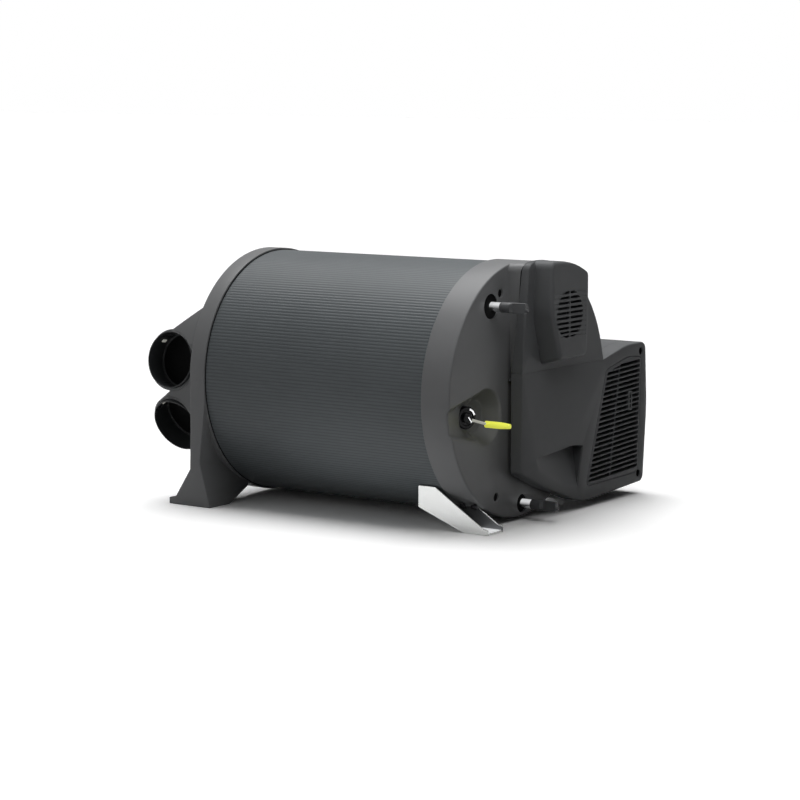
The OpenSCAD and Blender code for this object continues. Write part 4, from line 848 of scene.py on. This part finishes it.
# %% Grille sizes and helpers
FRAME_W, FRAME_RIGHT, RIGHT_FROM, TRIM, FRAME_STEP = 4.0, 2.4, 222.0, 0.6, 0.4
SLATS, SLAT_GAP, SLAT_DEPTH, LEAST_GAP = 23, 4.1, 7.0, 20.0
ROW_Y, ROW_LOW, ROW_PITCH, SLAT_TILT = 175.0, 33.5, 5.82, math.radians(2.4)
RIB, RIB_HALF, RIB_BEHIND, RIB_SUNK, GRILLE_BACK = [(168.5, 29), (190.5, 163)], 1.2, 1.0, 2.2, 408.8
LATCH, LATCH_HALF, LATCH_RIM, LATCH_SUNK = np.array((212.8, 117.3)), np.array((2.0, 9.5)), 2.2, 4.0
LATCH_PROUD, SLIT_SUNK = 0.3, 0.2


def clipped(outline, normal, offset):
    """The part of a convex outline where normal . p is at least offset: the corners on that side,
    and the points where its edges cross the line."""
    far = outline @ normal - offset
    after = np.roll(far, -1)
    part = far / np.where(far == after, 1.0, far - after)
    cross = outline + part[:, None] * (np.roll(outline, -1, 0) - outline)
    keep = np.stack([far >= 0, (far >= 0) != (after >= 0)], 1).reshape(-1)
    return np.stack([outline, cross], 1).reshape(-1, 2)[keep]


def slat_gap(row):
    """One opening between two slats: the field's part between two slanting lines."""
    middle = np.array([ROW_Y, ROW_LOW + row * ROW_PITCH])
    normal = np.array([-math.sin(SLAT_TILT), math.cos(SLAT_TILT)])
    strip = clipped(field, normal, middle @ normal - SLAT_GAP / 2)
    return clipped(strip, -normal, -middle @ normal - SLAT_GAP / 2)


def area(outline):
    """The shoelace formula: half the sum of each point's y times the next z, less the next y times
    its z."""
    y, z = outline.T
    return 0.5 * (y * np.roll(z, -1) - np.roll(y, -1) * z).sum()


def box(middle, half):
    """The four corners of an upright rectangle."""
    return middle + half * np.array([(-1, -1), (1, -1), (1, 1), (-1, 1)])


# %% Grille mesh
grille_line = rounded(GRILLE)
frame_in = np.where(grille_line[:, 0] > RIGHT_FROM, FRAME_RIGHT, FRAME_W)
field = drawn_in(grille_line, frame_in)
gaps = [slat_gap(row) for row in range(SLATS)]
gaps = [g for g in gaps if len(g) > 3 and area(g) > LEAST_GAP]
trim_x, trim_in = edge_stations(FACE_X, TRIM)
back_in, level = frame_in - FRAME_STEP, np.zeros(len(grille_line))
slat_back = FACE_X - SLAT_DEPTH
panel = [carried(grille_line, [slat_back, GRILLE_BACK, GRILLE_BACK, *trim_x],
                 np.vstack([back_in, back_in, level, level + trim_in[:, None]])),
         filled(drawn_in(grille_line, TRIM), FACE_X, gaps),
         filled(drawn_in(grille_line, back_in), slat_back, gaps)]
panel += [carried(g, [FACE_X, slat_back], [0, 0]) for g in gaps]
low_end, high_end = np.array(RIB)
half = np.array((RIB_HALF, 0))
rib = np.array([low_end - half, low_end + half, high_end + half, high_end - half])
panel += slab(rib, [slat_back - RIB_BEHIND, FACE_X - RIB_SUNK])
latch, latch_plate = box(LATCH, LATCH_HALF), box(LATCH, LATCH_HALF + LATCH_RIM)
panel += slab(latch_plate, [FACE_X - LATCH_SUNK, FACE_X + LATCH_PROUD], [latch])
build("slatted_grille", panel, "housing_plastic", "grille", ["intake_grille"])
build("latch_slit", slab(latch, [FACE_X - LATCH_SUNK, FACE_X - SLIT_SUNK]), "black_rubber", "grille")
print("grille openings", len(gaps))

# %% [markdown]
# ## Warm-air outlets
# Four sleeves plug into the distributor and take the air ducts. Each is a thin tube with a rounded lip
# and a stop ring half-way in, which is a profile turned about the sleeve's own tilted axis.
# A small pale catch sits on the wall inside, where a duct's end locks, and is self-lit as a painted
# highlight. A black disc behind the ring is painted shade deep in the sleeve.

# %% Outlet sizes and helpers
OUTLET_X, OUTLET_R, OUTLET_BORE, STOP_R, STOP_AT, STOP_W = -17.0, 34.0, 32.8, 30.8, 26.0, 2.0
OUTLETS = {"outlet_front_upper": (-142.3, 172.7, 7.4, 44.0),
           "outlet_front_lower": (-130.0, 91.8, -25.0, 30.0),
           "outlet_rear_upper": (142.3, 172.7, 7.4, 44.0),
           "outlet_rear_lower": (130.0, 91.8, -25.0, 30.0)}
SHADE_DISC_AT, SHADE_DISC_W = 27.0, 1.0
CATCH_AT, CATCH_TURN, CATCH_LEN, CATCH_HALF = -13.0, math.radians(-48), 6.0, math.radians(3.2)
CATCH_IN, CATCH_OUT, CATCH_POINTS = 1.2, 0.3, 5


def sleeve_place(mouth_y, mouth_z, tilt):
    """Maps (depth, radius, turn) on a sleeve to the frame: depth runs out of its mouth."""
    away = math.copysign(1, mouth_y)
    out = np.array([0, away * math.cos(math.radians(tilt)), math.sin(math.radians(tilt))])
    level = np.array([1.0, 0, 0])
    rise = np.array([0, -away * out[2], abs(out[1])])

    def place(depth, r, turn):
        ring = np.sin(turn)[..., None] * level + np.cos(turn)[..., None] * rise
        return np.array([OUTLET_X, mouth_y, mouth_z]) + depth[..., None] * out + r[..., None] * ring

    return place


def sleeve_turned(profile, place, count=128):
    """A profile of (depth, radius) points turned about a sleeve's own axis."""
    profile = np.asarray(profile, float)
    turns = np.linspace(0, 2 * np.pi, count, endpoint=False)
    depth, spin = np.meshgrid(profile[:, 0], turns, indexing="ij")
    radius = np.repeat(profile[:, 1:], count, 1)
    return place(depth, radius, spin).reshape(-1, 3), rings(len(profile), count)


def sleeve_catch(place):
    """A small block on a sleeve's wall: its section is an arc out and back, and two sections span it."""
    arc = CATCH_TURN + CATCH_HALF * np.linspace(-1, 1, CATCH_POINTS)
    r = np.repeat([OUTLET_BORE - CATCH_IN, OUTLET_BORE + CATCH_OUT], CATCH_POINTS)
    depth = np.repeat([[CATCH_AT - CATCH_LEN], [CATCH_AT]], 2 * CATCH_POINTS, 1)
    p = place(depth, r, np.concatenate([arc, arc[::-1]])).reshape(-1, 3)
    i = np.arange(CATCH_POINTS - 1)
    last = 2 * CATCH_POINTS - 1
    end = np.stack([i, i + 1, last - i - 1, last - i], -1)
    return [(p, rings(2, 2 * CATCH_POINTS)), (p, np.concatenate([end, end + 2 * CATCH_POINTS]))]


# %% Outlet meshes
lip_turn = np.linspace(-np.pi / 2, np.pi / 2, 7)
lip_r = (OUTLET_R - OUTLET_BORE) / 2
lip = np.stack([lip_r * np.cos(lip_turn) - lip_r, OUTLET_BORE + lip_r - lip_r * np.sin(lip_turn)], -1)
stop = [(-STOP_AT, OUTLET_BORE), (-STOP_AT, STOP_R), (-STOP_AT - STOP_W, STOP_R),
        (-STOP_AT - STOP_W, OUTLET_BORE)]
shade_disc = [(-SHADE_DISC_AT, 0), (-SHADE_DISC_AT, STOP_R), (-SHADE_DISC_AT - SHADE_DISC_W, STOP_R), (-SHADE_DISC_AT - SHADE_DISC_W, 0),
        (-SHADE_DISC_AT, 0)]
for name, (mouth_y, mouth_z, tilt, length) in OUTLETS.items():
    place = sleeve_place(mouth_y, mouth_z, tilt)
    sleeve = [(-length, OUTLET_R), *lip, *stop, (-length, OUTLET_BORE), (-length, OUTLET_R)]
    build(name.replace("outlet", "duct_sleeve"), [sleeve_turned(sleeve, place)], "outlet_plastic",
          stands_for=[name])
    # A black disc behind the stop ring: painted shade inside the sleeve.
    build(name.replace("outlet", "duct_shade"), [sleeve_turned(shade_disc, place)], "black_rubber")
    # The catch's pale finish is self-lit: a painted highlight.
    build(name.replace("outlet", "duct_catch"), sleeve_catch(place), "pale_plastic")

# %% [markdown]
# ## Warm-air end cap
# This cap has a shallow band and two legs that grow out of it. A leg is lofted upwards:
# at each height its section is a rounded rectangle from the outer face in to the drum,
# and its two side edges flare straight out to the toe and the heel.

# %% Warm cap sizes and helpers
WARM_X, WARM_PLATE, SEAM_X, AIR_R, WARM_EDGE, SEAM_EDGE = 18.0, 21.0, 40.0, 70.0, 1.2, 0.4
LEG_TOE = np.array([(0, -16), (7.4, -16), (9.5, -6), (44, 16.7), (92, 18), (AXIS_Z, 18)])
LEG_HEEL = np.array([(0, 46.8), (52.4, 31.5), (126, 40), (AXIS_Z, 40)])
FOOT_HEIGHTS, LOFT_FROM, DRUM_OVERLAP = [0, 0.8, 7.4, 9.5], 16.0, 2.0
ARCH_Y, ARCH_Z, ARCH_FOOT, LEG_ROUND = -63.0, 18.1, -110.0, 1.2
FOOT_Y, FOOT_HOLE, FOOT_POCKET, FOOT_FLOOR, BOSS_WALL, BOSS_TOP = 129.0, 2.75, 6.5, 5.0, 1.5, 23.0


def upright(profile, x, y, count=40):
    """A closed profile of (z, radius) points turned about an upright axis at (x, y)."""
    p, f = turned(profile, (0, 0), count)
    return np.stack([x + p[:, 1], y + p[:, 2], p[:, 0]], -1), f


def leg(side):
    """Sections from the floor up to the axis; side is -1 at the front and 1 at the rear. A section is a
    rectangle from toe to heel and from the drum out to the cap's radius, with a quarter circle at each
    corner."""
    z = np.concatenate([FOOT_HEIGHTS, np.linspace(LOFT_FROM, AXIS_Z, 30)])
    toe, heel = np.interp(z, *LEG_TOE.T), np.interp(z, *LEG_HEEL.T)
    drum = np.sqrt((CAP_R - DRUM_OVERLAP) ** 2 - (AXIS_Z - z) ** 2)
    inner = np.where(z < ARCH_Z, -ARCH_FOOT + (ARCH_FOOT - ARCH_Y) * z / ARCH_Z, drum)
    inner = np.minimum(inner, CAP_R - 2 * LEG_ROUND)
    quarter = np.linspace(0, np.pi / 2, 4)
    turns = np.concatenate([quarter + k * np.pi / 2 for k in range(4)])
    u, v = np.repeat([1.0, 0, 0, 1], 4), np.repeat([1.0, 1, 0, 0], 4)
    x = toe[:, None] + (heel - toe)[:, None] * u + LEG_ROUND * (np.cos(turns) - 2 * u + 1)
    y = inner[:, None] + (CAP_R - inner)[:, None] * v + LEG_ROUND * (np.sin(turns) - 2 * v + 1)
    p = np.stack([x, side * y, np.repeat(z[:, None], len(turns), 1)], -1)
    ring = np.arange(len(turns))
    caps = np.stack([ring[::-1], ring + (len(z) - 1) * len(turns)])
    return [(p.reshape(-1, 3), rings(len(z), len(turns))), (p.reshape(-1, 3), caps)]


# %% Warm cap meshes
warm = [turned([(WARM_X, AIR_R), (WARM_X, CAP_R - WARM_EDGE), (WARM_X + 0.35, CAP_R - 0.35),
                (WARM_X + WARM_EDGE, CAP_R), (SEAM_X - SEAM_EDGE, CAP_R), (SEAM_X, CAP_R - SEAM_EDGE),
                (SEAM_X, CAP_BORE), (WARM_PLATE, CAP_BORE), (WARM_PLATE, AIR_R)], (0, AXIS_Z), 360)]
boss_r = FOOT_POCKET + BOSS_WALL
foot_boss = [(0, FOOT_HOLE), (0, FOOT_POCKET), (FOOT_FLOOR, boss_r), (BOSS_TOP, boss_r),
             (BOSS_TOP, FOOT_POCKET), (FOOT_FLOOR, FOOT_POCKET), (FOOT_FLOOR, FOOT_HOLE)]
for side in (-1, 1):
    warm += leg(side) + [upright(foot_boss, 0, side * FOOT_Y)]
build("warm_cap", warm, "cap_plastic", stands_for=["warm_air_end_cap"])
wells = []
well_r, well_top = FOOT_POCKET - 0.1, BOSS_TOP - 0.4
for side in (-1, 1):
    p, f = upright([(FOOT_FLOOR, 0), (FOOT_FLOOR, well_r), (well_top, well_r), (well_top, 0)],
                   0, side * FOOT_Y)
    slope = np.interp(p[:, 0], LEG_TOE[2:4, 1], LEG_TOE[2:4, 0]) + 0.2
    p[:, 2] = np.where(p[:, 2] > FOOT_FLOOR + 1, np.maximum(p[:, 2], slope), p[:, 2])
    wells.append((p, f))
build("foot_wells", wells, "black_rubber")
seal_low, seal_high = DRUM_R - 1.5, DRUM_R + 0.5
build("jacket_seal", [turned([(SEAM_X, seal_low), (SEAM_X, seal_high), (SEAM_X + 0.8, seal_high),
                              (SEAM_X + 1.2, seal_low)], (0, AXIS_Z), 240)], "black_rubber")

# %% [markdown]
# ## Front bracket
# A bent sheet carries the burner end: a pale front flange and base, and an inner flange in a dark finish
# that is painted shade under the drum, while its cut edge stays pale. Each wall is its side view carried
# across the sheet.
# A bright chrome plate with small beads covers the flat of the foot, and its upward face gets a painted
# reflection.

# %% Bracket
SHEET, BRACKET_Y, BRACKET_INNER = 2.0, -106.0, -76.0
SOLE_X, BEAD_PITCH, BEAD_HIGH, SOLE_SUNK, SOLE_CLEAR = (384.0, 411.5), 9.0, 0.4, 0.5, 0.3
CUT_EDGE, CUT_R = [(355, 24.4), (379.2, 24.3), (405.2, 7.9), (411.6, 6.3)], 0.7
FLANGE = [(318, 23.3, 0.6), (379, 0, 2), (412, 0, 0.6), (412, 6, 1.2), (405, 7.5, 2), (341, 48.6, 2),
          (318, 48.6, 1)]
INNER = [(318, 23.3, 0.45), (379, 0, 2), (412, 0, 0.6), (412, 6, 1.2), (405, 7.5, 2), (379, 24, 1),
         (318.4, 24.6, 0.45)]
BASE = [(318, 23.3, 0.6), (379, 0, 2), (412, 0, 0.6), (412, SHEET, 0.6), (379.4, SHEET, 2),
        (318.5, 25.2, 0.6)]


def across(corners, near, far):
    """A wall whose side view (x, z) is carried along Y from near to far, with eased edges."""
    line = rounded(corners)
    ease = min(0.4, abs(far - near) / 5)
    p, f = carried(line, [near, near + ease, far - ease, far], [ease, 0, 0, ease])
    walls = [(p, f), filled(drawn_in(line, ease), near), filled(drawn_in(line, ease), far)]
    return [(q[:, [1, 0, 2]], g) for q, g in walls]


build("bracket_sheet_front", across(FLANGE, BRACKET_Y, BRACKET_Y + SHEET)
      + across(BASE, BRACKET_Y + 0.2, BRACKET_INNER), "bracket_sheet",
      stands_for=["support_bracket_front"])
# The inner flange takes the dark motor_can finish as painted shade under the drum.
build("bracket_inner_front", across(INNER, BRACKET_INNER, BRACKET_INNER + SHEET), "motor_can")


# %% Bracket edge and sole
def rod(start, end, r, count=24):
    """A round rod between two points: rings in the plane across its direction."""
    start, end = np.asarray(start, float), np.asarray(end, float)
    along = unit(end - start)
    side = unit(np.cross(along, (0, 0, 1.0)))
    lift = np.cross(side, along)
    turn = np.linspace(0, 2 * np.pi, count, endpoint=False)
    ring = r * (np.cos(turn)[:, None] * side + np.sin(turn)[:, None] * lift)
    p = np.concatenate([start + ring, end + ring])
    return [(p, rings(2, count)), (p, np.stack([np.arange(count)[::-1], np.arange(count) + count]))]


cut = [(x, BRACKET_INNER + SHEET / 2, z) for x, z in CUT_EDGE]
build("bracket_crest", [s for start, end in zip(cut, cut[1:]) for s in rod(start, end, CUT_R, 12)],
      "bracket_sheet")
sole_y = np.linspace(BRACKET_INNER - SOLE_CLEAR, BRACKET_Y + SHEET + SOLE_CLEAR, 49)
beads = SHEET + SOLE_SUNK + BEAD_HIGH * np.cos(2 * np.pi * (sole_y - BRACKET_Y) / BEAD_PITCH)
sole_line = np.concatenate([[(sole_y[-1], SHEET - SOLE_SUNK), (sole_y[0], SHEET - SOLE_SUNK)],
                            np.column_stack([sole_y, beads])])
# The sole is chrome, so pipe_chrome's painted reflection brightens its upward face.
build("bracket_sole", slab(sole_line, SOLE_X), "pipe_chrome")

# %% [markdown]
# ## Water and fuel connections
# Two chrome pipes leave the ports through black grommets, and carry grey plastic spigots
# whose tips are cut flat on one side. The fuel line ends in a glossy black fitting with a bright clip,
# turned a little outwards, and a thin pale nipple leads to a bright yellow transport cap.

# %% Spigots
SPIGOT_R, SPIGOT_X, SPIGOT_FLAT, SPIGOT_END, SPIGOT_SIDES = 6.0, 401.5, 415.0, 434.0, 48
FOOT_EASE, TIP_EASE, FLAT_RUN, FLAT_LEFT = 0.6, 0.8, 2.5, 0.3
NUB_X, NUB_R, NUB_DROP = 437.0, 1.5, 2.5
PIPE_R, PIPE_SUNK, PIPE_INTO, GROMMET_X, GROMMET_LEN = 5.3, 6.0, 1.0, 388.4, 8.0


def flat_sided(centre):
    """A spigot: a round bar whose near side is pressed flat from SPIGOT_FLAT on. Beyond the flat, every
    point of the section is brought back to one plane."""
    x = np.array([SPIGOT_X, SPIGOT_X + FOOT_EASE, SPIGOT_FLAT, SPIGOT_FLAT + FLAT_RUN,
                  SPIGOT_END - TIP_EASE, SPIGOT_END])
    r = SPIGOT_R - np.array([FOOT_EASE, 0, 0, 0, 0, TIP_EASE])
    near = -SPIGOT_R * np.repeat([1.0, FLAT_LEFT], 3)
    turn = np.linspace(0, 2 * np.pi, SPIGOT_SIDES, endpoint=False)
    y = np.maximum(r[:, None] * np.sin(turn), near[:, None])
    z = r[:, None] * np.cos(turn)
    p = np.stack([np.repeat(x[:, None], SPIGOT_SIDES, 1), centre[0] + y, centre[1] + z], -1).reshape(-1, 3)
    ring = np.arange(SPIGOT_SIDES)
    return [(p, rings(len(x), SPIGOT_SIDES)), (p, np.stack([ring, ring[::-1] + len(p) - SPIGOT_SIDES]))]


seals = []
for name, centre, port_r in (("hot", HOT, HOT_R), ("cold", COLD, COLD_R)):
    nub = bar([(SPIGOT_END - 1, NUB_R), (NUB_X, NUB_R)], (centre[0], centre[1] - NUB_DROP), 20)
    build(name + "_spigot", [*flat_sided(centre), nub], "spigot_plastic",
          stands_for=[name + "_water_spigot"])
    pipe = bar([(GROMMET_X - PIPE_SUNK, PIPE_R), (SPIGOT_X + PIPE_INTO, PIPE_R)], centre)
    # The chrome ferrules carry pipe_chrome's painted reflection on their upward faces.
    build(name + "_ferrule", [pipe], "pipe_chrome")
    back_x, inner_r, outer_r = GROMMET_X - GROMMET_LEN, PIPE_R - 0.2, port_r - 0.05
    seals.append(turned([(back_x, inner_r), (GROMMET_X, inner_r), (GROMMET_X, PIPE_R + 1),
                         (GROMMET_X - 1, port_r - 2), (GROMMET_X - 2, outer_r), (back_x, outer_r)],
                        centre, 48))
build("port_seals", seals, "black_rubber", stands_for=["port_grommets"])


# %% Fuel parts
FITTING_AT, FITTING_R, FITTING_LEAN = (382.0, -103.0, 130.3), 13.0, math.radians(20)
FITTING = [(-14, FITTING_R), (-1.2, FITTING_R), (0, FITTING_R - 1.2), (0, 9), (-1.2, 8.4), (-1.2, 6),
           (1.8, 6), (2.8, 5)]
CLIP_FROM, CLIP_TO, CLIP_R, CLIP_X = math.radians(20), math.radians(75), (9.0, 11.2), (-0.5, 0.6)
CLIP_BAR, CLIP_BAR_X = np.array([(-0.8, 0.6), (3.6, -5.6), (4.8, -4.8), (0.4, 1.4)]), (1.0, 3.2)
NIPPLE_Y, NIPPLE_Z, NIPPLE_R = -78.0, 121.0, 1.6
STEM_FROM, STEM_BEND, STEM_TO = 383.0, 393.0, 404.0


def aslant(surface):
    """A turned surface moved to the fuel fitting's place, with its axis leaning outwards."""
    p, f = surface
    cos, sin = math.cos(FITTING_LEAN), math.sin(FITTING_LEAN)
    return np.stack([FITTING_AT[0] + p[:, 0] * cos + p[:, 1] * sin,
                     FITTING_AT[1] - p[:, 0] * sin + p[:, 1] * cos, FITTING_AT[2] + p[:, 2]], -1), f


build("fuel_fitting", [aslant(bar(FITTING, (0, 0), 48))], "fitting_black",
      stands_for=["fuel_inlet_fitting"])
arc = np.linspace(CLIP_FROM, CLIP_TO, 9)
clip_line = np.concatenate([polar(CLIP_R[0], arc), polar(CLIP_R[1], arc[::-1])]) - (0, AXIS_Z)
clip = slab(clip_line, CLIP_X) + slab(CLIP_BAR, CLIP_BAR_X)
# The clip's chrome arcs and bar are set to give glints on the fitting, and their upward faces carry
# pipe_chrome's painted reflection.
build("fuel_clip", [aslant(s) for s in clip], "pipe_chrome")
bend = (STEM_BEND, NIPPLE_Y - 1, NIPPLE_Z + 0.3)
stem = rod((STEM_FROM, FITTING_AT[1] + 3, FITTING_AT[2] - 2), bend, NIPPLE_R)
stem += rod(bend, (STEM_TO, NIPPLE_Y, NIPPLE_Z), NIPPLE_R)
# The stem's pale finish is self-lit: a painted highlight.
build("fuel_stem", stem, "pale_plastic", stands_for=["fuel_nipple"])

# %% [markdown]
# ## Exhaust connector
# The exhaust leaves through the rear of the cap as a short steel tube with a bead for the clamp.
# Only this end shows, so the tube is drawn from inside the cap to its lip.

# %% Exhaust
DUCT_X, DUCT_Z, DUCT_R, DUCT_BORE, BEAD_R, BEAD_Y, BEAD_W = 372.5, 234.0, 11.0, 9.5, 13.0, 150.0, 3.0
DUCT_FROM, DUCT_END = 90.0, 162.0
tube, sides = turned([(DUCT_FROM, DUCT_R), (BEAD_Y, DUCT_R), (BEAD_Y + 0.6, BEAD_R),
                      (BEAD_Y + BEAD_W, BEAD_R), (BEAD_Y + BEAD_W + 0.6, DUCT_R), (DUCT_END, DUCT_R),
                      (DUCT_END, DUCT_BORE), (DUCT_FROM, DUCT_BORE)], (DUCT_X, DUCT_Z), 48)
build("exhaust_tube", [(tube[:, [1, 0, 2]], sides)], "tank_steel", stands_for=["exhaust_connector"])
